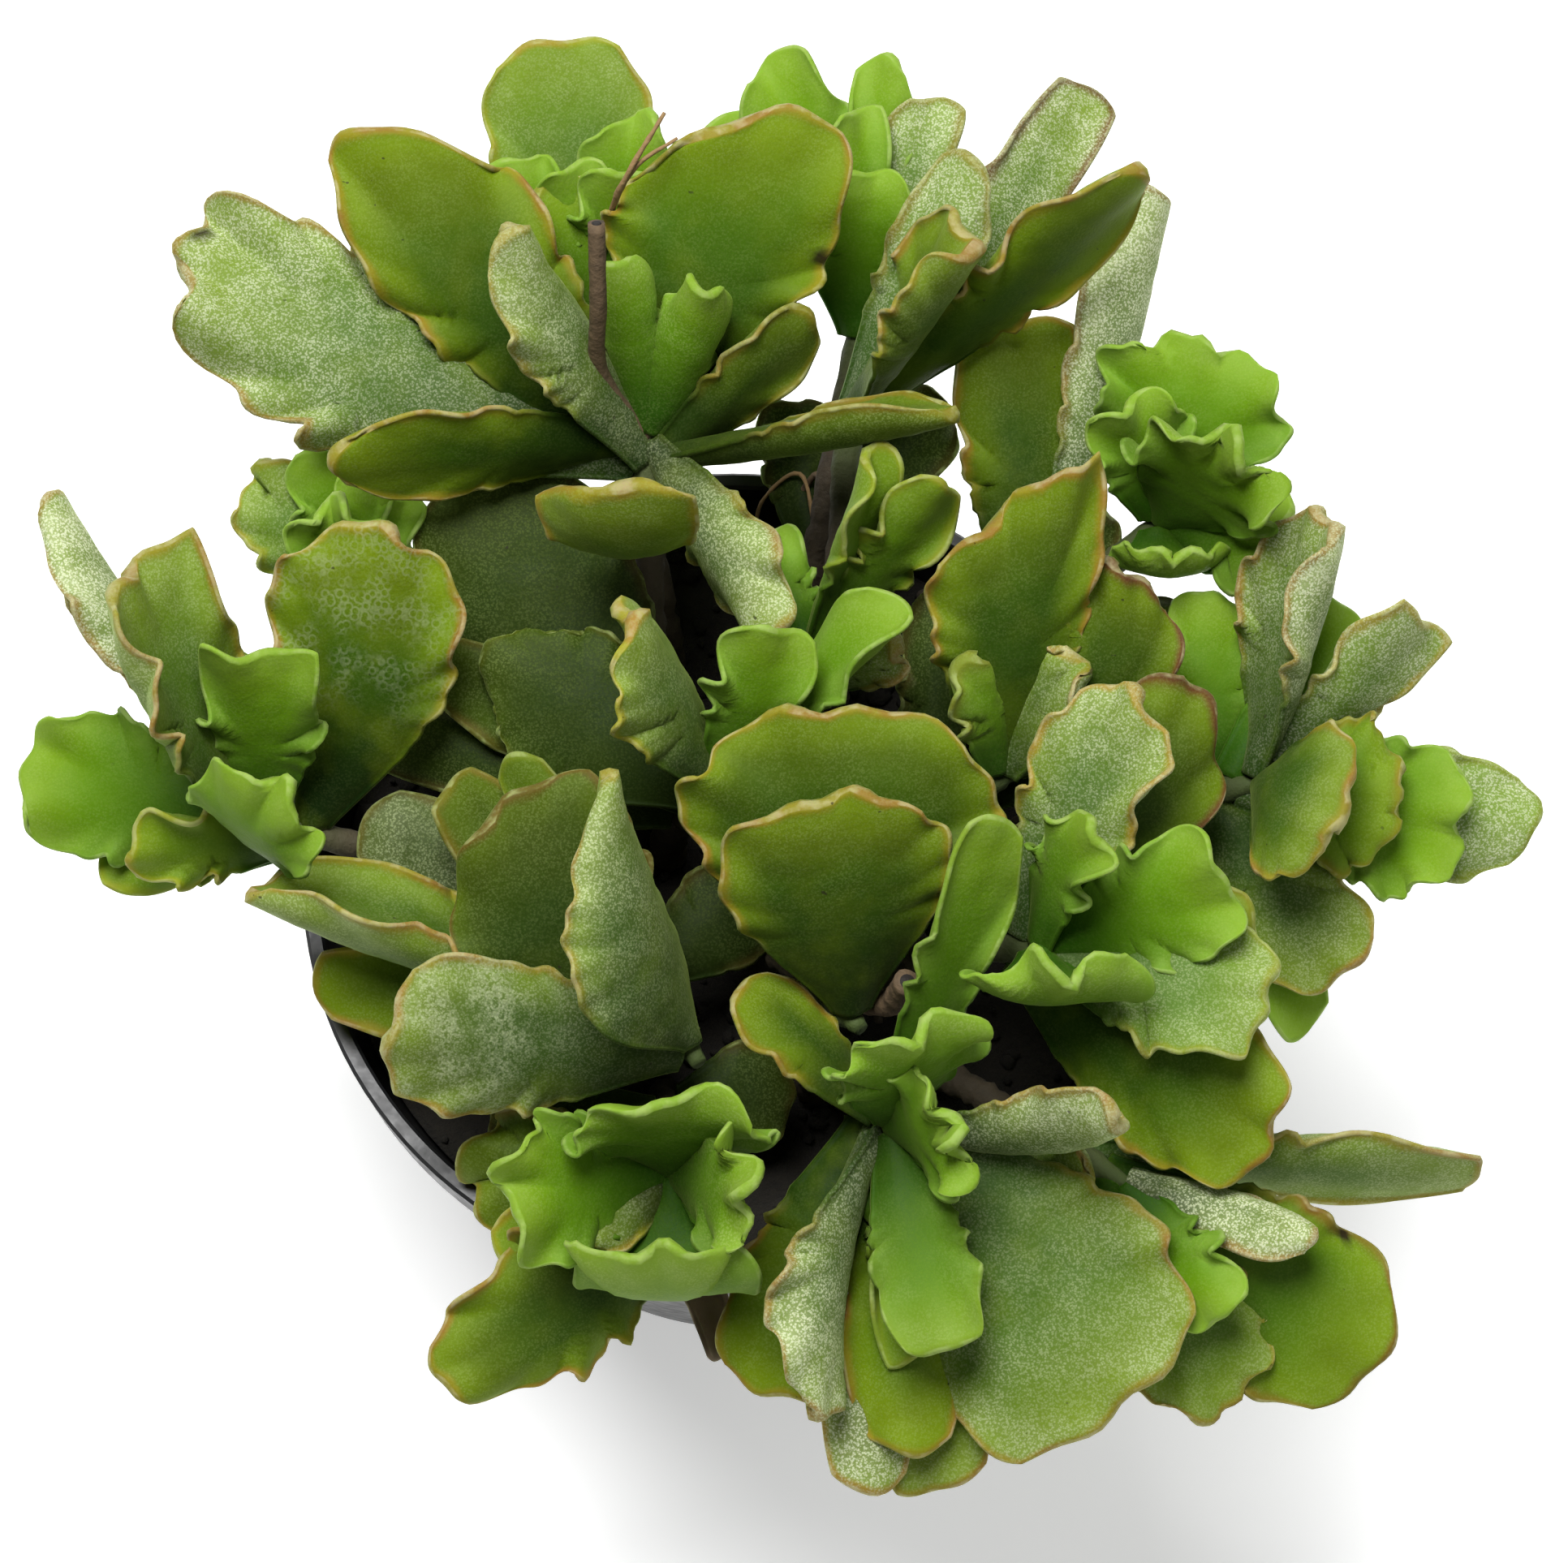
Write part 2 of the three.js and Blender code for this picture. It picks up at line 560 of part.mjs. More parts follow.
function stemCurve(shoot) {
  const [x, y] = shoot.root;
  const crown = seen(shoot.crown);
  const foot = new THREE.Vector3(x, y, SOIL_HEIGHT);
  const knee = new THREE.Vector3(x, y, THREE.MathUtils.lerp(SOIL_HEIGHT, crown.z, KNEE_SHARE));
  return new THREE.QuadraticBezierCurve3(foot, knee, crown);
}

// The upright foot in the soil, and the free stem, which thins towards its crown
function stemSolid(shoot) {
  const curve = stemCurve(shoot);
  const radius = shoot.girth / 2;
  const bottom = curve.v0.clone().setZ(SOIL_HEIGHT - STEM_DEPTH);
  const top = curve.v0.clone().setZ(SOIL_HEIGHT + FOOT_LAP);
  const foot = rod(new THREE.LineCurve3(bottom, top), () => radius, STEM_SIDES, 1);
  const free = rod(curve, (t) => radius * (1 - STEM_TAPER * t), STEM_SIDES, STEM_STEPS);
  return foot.add(free);
}

function leafStart(shoot, leaf) {
  const start = stemCurve(shoot).getPoint(Math.min(leaf.at, HIGHEST_LEAF));
  const towards = seen(leaf.tip).sub(start).normalize();
  return start.addScaledVector(towards, LEAF_START);
}

// A bare side stem, aerial root or old flower stalk
function twigSolid(shoot, twig) {
  const start = stemCurve(shoot).getPoint(twig.at);
  const curve = new THREE.CatmullRomCurve3([start, ...twig.path.map(seen)]);
  return rod(curve, () => twig.girth / 2, TWIG_SIDES, TWIG_STEPS);
}

let leafNumber = 0;

function shootSolid(shoot) {
  const leaves = shoot.leaves.map((leaf) => {
    leafNumber += 1;
    return leafSolid(leafStart(shoot, leaf), { ...leaf, phase: leafNumber * PHASE_STEP });
  });
  const twigs = (shoot.twigs ?? []).map((twig) => twigSolid(shoot, twig));
  return joinAll([stemSolid(shoot), ...leaves, ...twigs]);
}

// Pot and soil

function wallRadius(height) {
  return THREE.MathUtils.lerp(POT_BASE_RADIUS, POT_TOP_RADIUS, height / (POT_HEIGHT - RIM_BAND));
}

function uprightCylinder(radius, sides, x, y, bottom, top) {
  const geometry = new THREE.CylinderGeometry(radius, radius, top - bottom, sides);
  geometry.rotateX(Math.PI / 2).translate(x, y, (bottom + top) / 2);
  return toSolid(geometry);
}

// The wall flares up to a ledge, from which an upright band rises to a small lip
function potSolid() {
  const ledge = POT_HEIGHT - RIM_BAND;
  const band = RIM_RADIUS - LIP_OUT;
  const lip = POT_HEIGHT - LIP_HEIGHT;
  const profile = [
    [0, 0], [POT_BASE_RADIUS, 0], [POT_TOP_RADIUS, ledge], [band, ledge + 1],
    [band, lip], [RIM_RADIUS, lip + LIP_OUT], [RIM_RADIUS, POT_HEIGHT], [band - POT_WALL, POT_HEIGHT],
    [band - POT_WALL, ledge + 1 + POT_WALL], [POT_TOP_RADIUS - POT_WALL, ledge],
    [wallRadius(POT_FLOOR) - POT_WALL, POT_FLOOR], [0, POT_FLOOR],
  ].map(([radius, height]) => new THREE.Vector2(radius, height));
  const shell = toSolid(new THREE.LatheGeometry(profile, POT_SIDES).rotateX(Math.PI / 2));
  const holes = Array.from({ length: DRAIN_HOLES }, (_, i) => {
    const angle = (2 * Math.PI * i) / DRAIN_HOLES;
    const [x, y] = [DRAIN_CIRCLE * Math.cos(angle), DRAIN_CIRCLE * Math.sin(angle)];
    return uprightCylinder(DRAIN_RADIUS, HOLE_SIDES, x, y, -1, POT_FLOOR + 1);
  });
  return holes.reduce((pot, hole) => pot.subtract(hole), shell);
}

// Numbers between 0 and 1 that are the same every time
function seededRandom(seed) {
  let state = seed;
  return () => {
    state = (state * 16807) % 2147483647;
    return state / 2147483647;
  };
}

function soilBlock() {
  const random = seededRandom(SOIL_SEED);
  const bottom = POT_FLOOR + SOIL_GAP;
  const top = Array.from({ length: SOIL_RINGS * SOIL_SIDES }, (_, i) => {
    const ring = Math.floor(i / SOIL_SIDES) + 1;
    const angle = (2 * Math.PI * (i % SOIL_SIDES)) / SOIL_SIDES;
    const radius = ((wallRadius(SOIL_HEIGHT) - POT_WALL - SOIL_GAP) * ring) / SOIL_RINGS;
    const lump = ring === SOIL_RINGS ? 0 : SOIL_LUMPS * (random() - 0.5);
    return new THREE.Vector3(radius * Math.cos(angle), radius * Math.sin(angle), SOIL_HEIGHT + lump);
  });
  const low = Array.from({ length: SOIL_SIDES }, (_, i) => {
    const angle = (2 * Math.PI * i) / SOIL_SIDES;
    const radius = wallRadius(bottom) - POT_WALL - SOIL_GAP;
    return new THREE.Vector3(radius * Math.cos(angle), radius * Math.sin(angle), bottom);
  });
  const points = [...top, ...low, new THREE.Vector3(0, 0, SOIL_HEIGHT), new THREE.Vector3(0, 0, bottom)];
  const middle = top.length + low.length;
  const triangles = [];
  for (let i = 0; i < SOIL_SIDES; i++) {
    const next = (i + 1) % SOIL_SIDES;
    triangles.push([middle, i, next], [middle + 1, top.length + next, top.length + i]);
    for (let ring = 0; ring < SOIL_RINGS; ring++) {
      const [a, b] = [ring * SOIL_SIDES + i, ring * SOIL_SIDES + next];
      triangles.push([a, a + SOIL_SIDES, b + SOIL_SIDES], [a, b + SOIL_SIDES, b]);
    }
  }
  return toSolid(indexed(points, triangles));
}

function soilSolid() {
  const holes = SHOOTS.map(({ root: [x, y], girth }) => {
    const radius = (girth / 2 + STEM_GAP) / Math.cos(Math.PI / HOLE_SIDES);
    const bottom = SOIL_HEIGHT - STEM_DEPTH - STEM_GAP;
    return uprightCylinder(radius, HOLE_SIDES, x, y, bottom, SOIL_HEIGHT + SOIL_LUMPS);
  });
  return holes.reduce((soil, hole) => soil.subtract(hole), soilBlock());
}

const plant = new THREE.Group();

function addPiece(name, solid, material) {
  const mesh = new THREE.Mesh(fromSolid(solid), material);
  mesh.name = name;
  plant.add(mesh);
}

addPiece('pot', potSolid(), MATERIALS.pot);
addPiece('soil', soilSolid(), MATERIALS.soil);
SHOOTS.forEach((shoot) => addPiece(shoot.name, shootSolid(shoot), MATERIALS.leaf));

export default plant;
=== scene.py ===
"""The looks of a crinkle-leaf succulent in a round black nursery pot."""

import functools
import itertools
import math
import random

import bmesh
import bpy
import numpy as np
from mathutils import Matrix, Vector, noise


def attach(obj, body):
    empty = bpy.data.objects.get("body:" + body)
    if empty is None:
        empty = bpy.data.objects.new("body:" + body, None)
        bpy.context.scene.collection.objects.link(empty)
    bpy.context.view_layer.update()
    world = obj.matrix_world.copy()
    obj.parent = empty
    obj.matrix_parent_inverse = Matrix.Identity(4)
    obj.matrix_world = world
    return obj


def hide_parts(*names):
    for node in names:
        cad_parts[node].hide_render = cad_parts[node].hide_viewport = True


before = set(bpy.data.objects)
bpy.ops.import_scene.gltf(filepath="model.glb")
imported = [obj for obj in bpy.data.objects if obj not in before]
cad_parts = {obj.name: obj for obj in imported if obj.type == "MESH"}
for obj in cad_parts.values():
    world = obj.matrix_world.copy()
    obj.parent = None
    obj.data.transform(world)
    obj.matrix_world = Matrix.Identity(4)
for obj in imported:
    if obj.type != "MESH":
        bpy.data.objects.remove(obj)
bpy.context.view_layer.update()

# Sizes of the plant and its pot are in millimetres, and MM turns them into metres
MM = 0.001

# Pot
POT_HEIGHT = 88
POT_TOP_RADIUS = 50.5
POT_BASE_RADIUS = 37
POT_WALL = 1.6
POT_FLOOR = 2.4
RIM_RADIUS = 52.5
RIM_BAND = 9
LIP_OUT = 0.6
LIP_HEIGHT = 1.8
DRAIN_HOLES = 6
DRAIN_RADIUS = 3.5
DRAIN_CIRCLE = 25
DRAIN_SIDES = 32
FOOT_ROUND = 1.2
FOOT_CORNER = (0.3, 0.4)
BAND_CORNER = 0.3
BAND_STEP = 1
LIP_SLOPE = (0.1, 0.4, 0.8)
LIP_ROUND = 0.4
POT_SIDES = 120
SHARP_ANGLE = math.radians(35)

# Soil
SOIL_HEIGHT = 78
SOIL_GAP = 0.4
SOIL_LEVEL = SOIL_HEIGHT - 0.4
SOIL_LUMPS = 0.5
SOIL_RINGS = 26
SOIL_SIDES = 90
SOIL_TONE = 0.4
CRUMBS = 900
CRUMB_RADII = (0.5, 1.9)
CRUMB_SQUEEZE = (0.65, 1.15)
CRUMB_ROUGHNESS = (0.75, 1.15)
CRUMB_SUNK = (-0.4, 0.3)
CRUMB_GAP = 0.3

# Stems, and the dry twigs and thin wisps on them
STEM_TAPER = 0.25
STEM_SUNK = 6.3
KNEE_SHARE = 0.6
STEM_SIDES = 14
STEM_STEPS = 44
STEM_PLACES = 1000
CROWN_FROM = 0.9
CROWN_SHARE = 0.55
GREEN_FROM = 0.7
STEM_KNOBS = 0.22
TWIG_KNOBS = 0.15
WISP_KNOBS = 0.3
KNOBS_ROUND = 0.5
KNOBS_POINT = 0.35
TWIG_STEPS = 24
PITH_SHARE = 0.6
PITH_DEPTH = 0.4
PITH_OUT = 0.05

# Leaf blades
PETIOLE_THICKNESS = 3.2
PETIOLE_WIDTH = 4.4
LEAF_START = 1.4
HIGHEST_LEAF = 0.96
WIDEST_AT = 0.72
FLARE = 1.25
TIP_WIDTH = 0.72
TIP_ROUND = 0.14
ROUND_FROM = 0.4
CUP_RATE = 1.6
LEAST_CUP = 1e-4
FULL_THICKNESS_AT = 0.45
TIP_THINNING = 0.5
EDGE_THICKNESS = 0.65
EDGE_BULGE = 0.45
CORNER_BULGE = 0.7
DIMPLE_SIZE = 2.6
DIMPLE_DEPTH = 0.16
DIMPLE_SHIFT = 50
SCAR_SIZE = 1.3
SCAR_CORE = 0.4
SCAR_FLATNESS = 0.7
LEAF_ROWS = 60
LEAF_COLUMNS = 22
NARROW_LEAF = 12
NARROW_SHARE = 0.65
SLOPE_STEP = 0.01

# Waves of the leaf margins: large ones, and fine crisped ones
WAVE_CENTRE = 0.42
WAVE_FROM = 0.2
WAVE_FULL = 0.6
TIP_WAVE_FROM = 0.55
WAVE_DRIFT = 0.9
WAVE_UNEVEN = 0.35
SCALLOP_SHARE = 0.6
PHASE_STEP = 2.4
CRISP = 0.5
CRISP_RATE = 2.1
CRISP_WIDTH = 18

# Floor, and the lights with their places and sizes in metres and their watts
FLOOR_REACH = 3000
FLOOR_GLOW = 0.4
WORLD_LIGHT = 0.07
LIGHTS = {"key": ((-0.18, 0.3, 1.2), 0.7, 22), "fill": ((0.5, -0.5, 0.95), 0.8, 2.8)}

# Where the plant is looked at from: places below are given as seen from there
VIEW_ELEVATION = math.radians(70)
VIEW_DISTANCE = 550
VIEW_MIDDLE = Vector((6.4, 1.9, 113))
VIEW_WIDTH = 184
SENSOR_WIDTH = 36
TO_UP = Vector((0, math.sin(VIEW_ELEVATION), math.cos(VIEW_ELEVATION)))
TO_NEAR = Vector((0, -math.cos(VIEW_ELEVATION), math.sin(VIEW_ELEVATION)))
FACES = {"near": TO_NEAR, "up": TO_UP, "right": Vector((1, 0, 0))}


# A leaf is given by where it leaves the stem (0 at the soil, 1 at the crown), where its tip is seen
# (right, up, nearer), its width, and how it is turned, curled, cupped, twisted, waved and ended.
# frost, red, youth and dark: how frosted its skin is, how red its margin, how fresh its green, and how much
# painted shade darkens it.
# calm is how much of its wave is kept, crimp how deep its fine waves are, crackle how ringed its frost is.
# scar_at and scar_side say where along and across the leaf it has a small dark scar.
def mature(at, tip, width, **form):
    usual = {"thick": 4.2, "wave": 1, "crests": 9, "youth": 0, "frost": 1, "red": 0.3, "dark": 0}
    return {"at": at, "tip": tip, "width": width, **usual, **form}


def young(at, tip, width, **form):
    usual = {"thick": 2.6, "wave": 1.4, "crests": 9, "youth": 1, "frost": 0.6, "red": 0, "dark": 0}
    return {"at": at, "tip": tip, "width": width, **usual, **form}


# Leaves given dark stand deep in shade, and that shade is painted into their colour.
SHOOTS = [
    dict(name="shoot_back_left", root=(-8, 30), crown=(-22, 57, -26), girth=4, leaves=[
        mature(0.9, (-27, 87.3, -27), 21, curl=2, cup=14, wave=0.8, youth=0.4, frost=1.4, red=0),
        mature(0.8, (-28.5, 70, -17), 14, turn=20, cup=25, youth=0.5),
        young(0.95, (-33, 73, -21), 10, cup=20),
        young(1, (-25, 73, -17), 9, cup=20),
        young(1, (-17, 78, -20), 12, cup=20),
        young(1, (-19, 72, -14), 10, cup=20),
    ]),
    dict(name="shoot_upper_left", root=(-10, 18), crown=(-16, 43, -16), girth=4.6, leaves=[
        mature(0.9, (-71.5, 63, -13), 24, turn=12, wave=1.8, crests=13, sway=-3, skew=1, blunt=0.55,
            youth=0.3, frost=2.1, crimp=3, scar_at=0.98, scar_side=0.35),
        mature(0.92, (-47, 76.5, -10), 21, wave=1.3, sway=-2, skew=-6, round=0.2),
        mature(0.95, (-2.5, 79, -8), 27, wave=1.2, curl=1, skew=6, round=0.22, youth=0.2, frost=0.6,
            scar_at=0.63, scar_side=0.95),
        mature(0.9, (-32.5, 65, 2), 18, turn=-120, cup=50, twist=20, wave=1.1, frost=1.6, youth=0.2),
        mature(0.95, (-53.5, 38, -4), 14, turn=-45, cup=25, sway=1, blunt=0.5, round=0.2, wave=0.4,
            frost=0.7),
        mature(0.85, (-20.5, 34.5, 8), 20, faces="up", curl=6, skew=-4, widest=0.96, wave=0.3),
        mature(1, (-1, 17.5, -4), 14, turn=-130, cup=40, wave=1.4, frost=1.6),
        young(1, (-20, 61, -3), 12, turn=165, cup=120, wave=0.7, youth=0.9),
        young(1, (-8.5, 58, -3), 13, turn=-165, cup=115, wave=0.8, youth=0.9),
        mature(0.9, (3, 55, -13), 11, turn=45, cup=30, wave=0.6, dark=0.6),
        mature(0.92, (20.5, 43, -3), 14, turn=-80, cup=60, sway=1, blunt=0.35, wave=0.4, dark=0.6),
    ], twigs=[{"at": 0.95, "path": [(-21.5, 48, -8), (-21.8, 56, 0), (-22, 65.5, 6)], "girth": 2}]),
    dict(name="shoot_back", root=(9, 33), crown=(10, 58, -28), girth=4, leaves=[
        young(1, (-1.5, 85, -28), 13, cup=20),
        young(1, (-8, 78, -27), 9, cup=20),
        young(1, (8, 79.5, -22), 9, cup=30, turn=15),
        young(1, (12, 84.5, -28), 9, cup=25),
        young(0.9, (9, 72, -20), 15, cup=15),
        mature(0.95, (18, 80.5, -27), 10, cup=20, youth=0.5, frost=2),
        mature(0.4, (18.5, 45, -36), 11, dark=1),
        mature(0.4, (1, 45, -38), 10, dark=1),
    ], twigs=[
        {"at": 0.5, "path": [(4, 36, -31), (1, 32, -36), (0, 28, -42)], "girth": 0.9},
        {"at": 0.55, "path": [(5, 37, -30), (4, 33, -34), (5, 29, -42)], "girth": 0.9},
    ]),
    dict(name="shoot_upper_right", root=(12, 20), crown=(8, 46, -24), girth=4.4, leaves=[
        mature(1, (36, 81, -42), 12, turn=25, cup=20, wave=1.2, youth=0.4, frost=2.2, red=0.9),
        mature(0.95, (42.5, 72.5, -6), 15, turn=55, cup=20, wave=1.2, blunt=0.55, round=0.2, frost=0.5),
        mature(1, (22.5, 64, -6), 20, turn=-75, cup=70, wave=1, frost=1.2),
        mature(0.95, (22.5, 73, -15), 11, turn=-20, cup=20, youth=0.5, frost=2),
    ]),
    dict(name="shoot_right_back", root=(27, 20), crown=(46, 32, -22), girth=4, leaves=[
        mature(0.6, (27.5, 54.5, -25), 16, turn=8, wave=0.9, round=0.08, blunt=0.85, dark=0.4),
        mature(0.65, (43.5, 69, -28), 15, turn=-125, cup=35, wave=1.1, youth=0.3, frost=2, red=0.6),
        young(0.95, (50, 51.5, -20), 24, cup=15, wave=1.5, round=0.1),
        young(1, (40.5, 45, -12), 13, cup=15, turn=10),
        young(1, (53, 39.5, -2), 20, cup=30, wave=2, turn=10, youth=0.8),
        young(1, (59.5, 29, -14), 14, cup=20, youth=0.8),
        young(0.95, (46.5, 26.5, -12), 16, faces="up", curl=3, cup=20, youth=0.8, calm=0.45, crimp=0.6),
        mature(0.5, (37, 33, -22), 10, dark=1),
        mature(0.6, (47, 17, -24), 10, dark=1),
    ]),
    dict(name="shoot_dark_right", root=(17, 2), crown=(27, 1, -10), girth=4.4, leaves=[
        mature(0.95, (27.5, 33, 2), 20, turn=10, cup=12, skew=7, round=0.02, blunt=0.95, dark=0.2),
        mature(0.95, (41, 24.5, -4), 17, turn=15, sway=4, red=1, dark=0.4, crimp=1.2),
        mature(0.95, (34.5, 15.5, -3), 12, turn=-40, cup=40, blunt=0.4, frost=1.6),
        mature(1, (21.5, 14.5, -2), 9, turn=30, cup=25, youth=0.6),
        mature(0.6, (20, 23, -18), 10, dark=1),
        mature(0.7, (39, 8, -16), 10, dark=1),
    ]),
    dict(name="shoot_right", root=(32, 5), crown=(58, 0, -14), girth=4.2, leaves=[
        mature(0.95, (64.5, 31, -6), 20, turn=-68, cup=75, wave=1.1, youth=0.2, frost=1.9),
        mature(0.95, (75, 19.5, -10), 12, turn=40, cup=15, blunt=0.95, round=0.05, youth=0.4, frost=2.2,
            red=0),
        mature(1, (65.5, -4.5, 1), 20, curl=-2, cup=6, round=0.16, blunt=0.8, wave=0.4, frost=1.3),
        mature(0.95, (72.5, -2, -9), 19, curl=-1, cup=-10, round=0.15, wave=0.8, youth=0.4),
        young(0.95, (80, -6, -14), 19, cup=10),
        mature(0.9, (88, -5, -20), 15, wave=1.2, youth=0.6, frost=2.2, red=0),
        mature(0.85, (66, -23, -14), 15, frost=1.5),
        young(0.85, (62, -29, -20), 9),
        young(0.85, (51, 22, -19), 14, cup=10, youth=0.8),
        young(0.9, (66, 21.5, -18), 8),
    ]),
    dict(name="shoot_left_back", root=(-24, 14), crown=(-52, 21, -20), girth=4, leaves=[
        mature(0.95, (-61, 37, -23), 14, cup=15, youth=0.4, frost=1.5, red=0),
        young(1, (-54, 39.5, -18), 10, cup=20),
        young(1, (-54, 32.5, -10), 12, cup=45),
        young(1, (-49.5, 36, -14), 7, cup=25),
        young(1, (-44.5, 34, -16), 7, cup=25),
    ]),
    dict(name="shoot_left", root=(-32, 0), crown=(-63, -5, -14), girth=4.2, leaves=[
        mature(0.95, (-86.5, 32.5, -14), 19, turn=-85, cup=65, blunt=0.4, round=0.2, youth=0.2, frost=2),
        mature(1, (-77.5, 24.5, 0), 23, turn=56, cup=60, sway=-3, wave=1.3, round=0.05, blunt=0.9,
            youth=0.2, frost=1.4),
        young(0.95, (-90, 2, -18), 18, cup=10, round=0.22, blunt=0.68, youth=0.8),
        young(1, (-67.5, 17.5, -10), 8),
        young(1, (-61.5, 15.5, 2), 14, cup=12, round=0.05, blunt=0.9, youth=0.85),
        young(1, (-59.5, -0.5, 7), 17, curl=-4, cup=15, wave=1.1, round=0.1, youth=0.85),
        young(0.85, (-77, -7.5, -9), 11, turn=-30, cup=30, youth=0.4),
        young(0.85, (-81, -9, -20), 9, youth=0.5),
        mature(0.85, (-49.5, 30, -3), 23, wave=1, cup=10, sway=3, skew=2, round=0.12, blunt=0.72,
            crackle=0.7),
    ]),
    dict(name="shoot_middle_left", root=(-14, -10), crown=(-10, -33, -2), girth=4.6, leaves=[
        mature(0.95, (-33, -2, 2), 27, dark=0.8, wave=1, sway=-4, skew=0.5, round=0.18, red=0.6),
        mature(1, (-21.5, 2, 13), 28, turn=-112, cup=50, sway=3, widest=0.35, blunt=0.15, wave=0.8,
            frost=1.5),
        mature(1, (-46.5, -29.5, 9), 19, turn=-10, cup=-15, wave=1.1, round=0.12, blunt=0.8, frost=1.6,
            dark=0.35, crackle=1, calm=0.65, crimp=0.7),
        mature(0.85, (-63.5, -13.5, -2), 22, turn=72, cup=72, blunt=0.5, frost=1.3),
        mature(0.75, (-55, -24, -10), 11),
        mature(0.6, (-49, -4, -16), 13, wave=0.3, frost=1.5, dark=0.9),
        mature(0.7, (-40, 0, -8), 11, turn=20, dark=0.75),
        young(0.8, (-31.5, 2.5, -6), 8, youth=0.6, dark=0.6),
        mature(0.55, (-2, -12, -16), 13, wave=0.3, dark=1),
    ]),
    dict(name="shoot_middle_back", root=(-8, 5), crown=(-7, -2, -6), girth=4.4, leaves=[
        mature(0.6, (-38, 37, -18), 24, wave=0.5, frost=0.6, dark=1),
        mature(0.85, (-35, 16, -12), 20, wave=0.4, crests=15, widest=0.58, blunt=0.5, round=0.26,
            frost=0.3, red=0, dark=0.95),
        mature(1, (-18, 20.5, 3), 24, turn=-112, cup=40, twist=30, wave=1.1, frost=1.3, red=0),
        mature(0.8, (-41, 14, -16), 11, dark=0.9),
        young(1, (-0.5, 18.5, 4), 12, turn=15, cup=25, wave=1.5, youth=0.85),
        young(1, (13.5, 22.5, -1), 10, turn=-45, cup=20, blunt=0.6, youth=0.85),
        mature(0.6, (-49, 6, -20), 10, dark=1),
        mature(0.6, (-30, 1, -18), 10, dark=1),
    ]),
    dict(name="shoot_middle_young", root=(6, 11), crown=(4, 17, -14), girth=3.6, leaves=[
        young(1, (11, 38.5, -3), 11, turn=60, cup=55, wave=1.2, youth=0.5),
        young(0.95, (19, 35.5, -6), 10, turn=40, cup=15, wave=1.6, youth=0.5),
        young(0.9, (-2, 30, -17), 7),
        mature(0.8, (13, 16.5, -6), 9, turn=30, cup=20, youth=0.3, frost=1.6),
    ]),
    dict(name="shoot_middle", root=(4, -9), crown=(9, -29, 0), girth=4.6, leaves=[
        mature(0.9, (6.5, 8.8, 4), 37, dark=0.3, wave=1.2, cup=8, round=0.12, blunt=0.8),
        mature(1, (5, -1.8, 14), 27, dark=0.35, wave=1.4, crests=8, cup=8, round=0.1, blunt=0.8,
            calm=0.45, crimp=0.8),
    ], twigs=[{"at": 0.8, "path": [(12, -26, -2), (14.5, -23.5, 4)], "girth": 3.2}]),
    dict(name="shoot_middle_right", root=(19, -12), crown=(31, -20, 3), girth=4.2, leaves=[
        young(1, (37, -5.5, 15), 11, turn=-45, cup=20, sway=-2, youth=0.8),
        young(1, (52.5, -11.5, 10), 16, turn=10, cup=15, round=0.1),
        young(1, (33, -22, 19), 21, faces="up", curl=4, cup=15, wave=1.7, crests=6),
        mature(0.95, (57, -26, 8), 18, turn=-15, cup=20, wave=1.1, round=0.1, youth=0.5, frost=1.6, red=0),
        mature(0.9, (56, -17, 2), 11, youth=0.5),
        mature(0.9, (41, 10.5, 4), 16, turn=-20, cup=25, wave=1.3, youth=0.2, frost=1.8, red=0),
        mature(0.8, (50.5, 8, -4), 18, turn=15, skew=-3, red=1, dark=0.45, crimp=1.8),
        mature(0.85, (57, -43, 3), 20, turn=10),
        mature(0.5, (36, -4, -14), 10, dark=1),
    ]),
    dict(name="shoot_front", root=(10, -25), crown=(13, -41, 4), girth=4.6, leaves=[
        young(1, (16.5, -29, 20), 20, faces="up", turn=17, cup=10, wave=1.6),
        young(1, (20, -41, 18), 17, turn=20, cup=15, wave=1.6),
        young(1, (19, -67, 15), 12, cup=-15, wave=1.5, crests=12, youth=0.7, frost=1.2, calm=0.55, crimp=0.4),
        young(0.9, (14.5, -69, 8), 6, youth=0.6),
        young(1, (25, -4, 14), 11, turn=35, cup=40, youth=0.7, calm=0.6),
        mature(0.95, (-5.5, -24, 2), 12, turn=45, cup=20, wave=0.5, dark=0.4),
        mature(1, (39.5, -39.5, 20), 15, turn=-115, cup=45, sway=-5, wave=0.7, blunt=0.6, frost=1.7),
        mature(0.9, (5, -75, 11), 20, turn=105, cup=50, twist=25, curl=-2, sway=-2, blunt=0.5,
            frost=1.8, youth=0.2),
        mature(0.85, (-2, -72.5, 2), 17, cup=-15),
        mature(0.8, (10, -83, 3), 12, frost=2.4, red=0, dark=0.3),
        mature(0.9, (40, -73.5, 7), 33, wave=1, cup=-8, round=0.1, blunt=0.8, youth=0.2, frost=1.6),
        mature(0.8, (19, -83.5, 1), 15, frost=1.4),
        mature(0.85, (15, -79, 5), 13),
    ]),
    dict(name="shoot_front_left", root=(-8, -27), crown=(-13, -47, 2), girth=4.2, leaves=[
        young(1, (-13, -37, 20), 24, faces="up", cup=-20, wave=1.5, crests=7, youth=0.9),
        young(1, (-4, -48, 20), 16, faces="right", cup=-15, wave=1.6, youth=0.8),
        young(1, (-16, -55.5, 20), 22, faces="up", curl=9, cup=12, wave=1.5, crests=7, youth=0.8),
        young(1, (-33, -49, 15), 18, cup=15, wave=1.6, youth=0.8),
        mature(1, (-23.5, -54.5, 8), 7, cup=10, wave=0.1, blunt=0.4, frost=1.6, red=0, dark=0.5),
        young(0.9, (-34, -56, 0), 8, youth=0.4, dark=0.3),
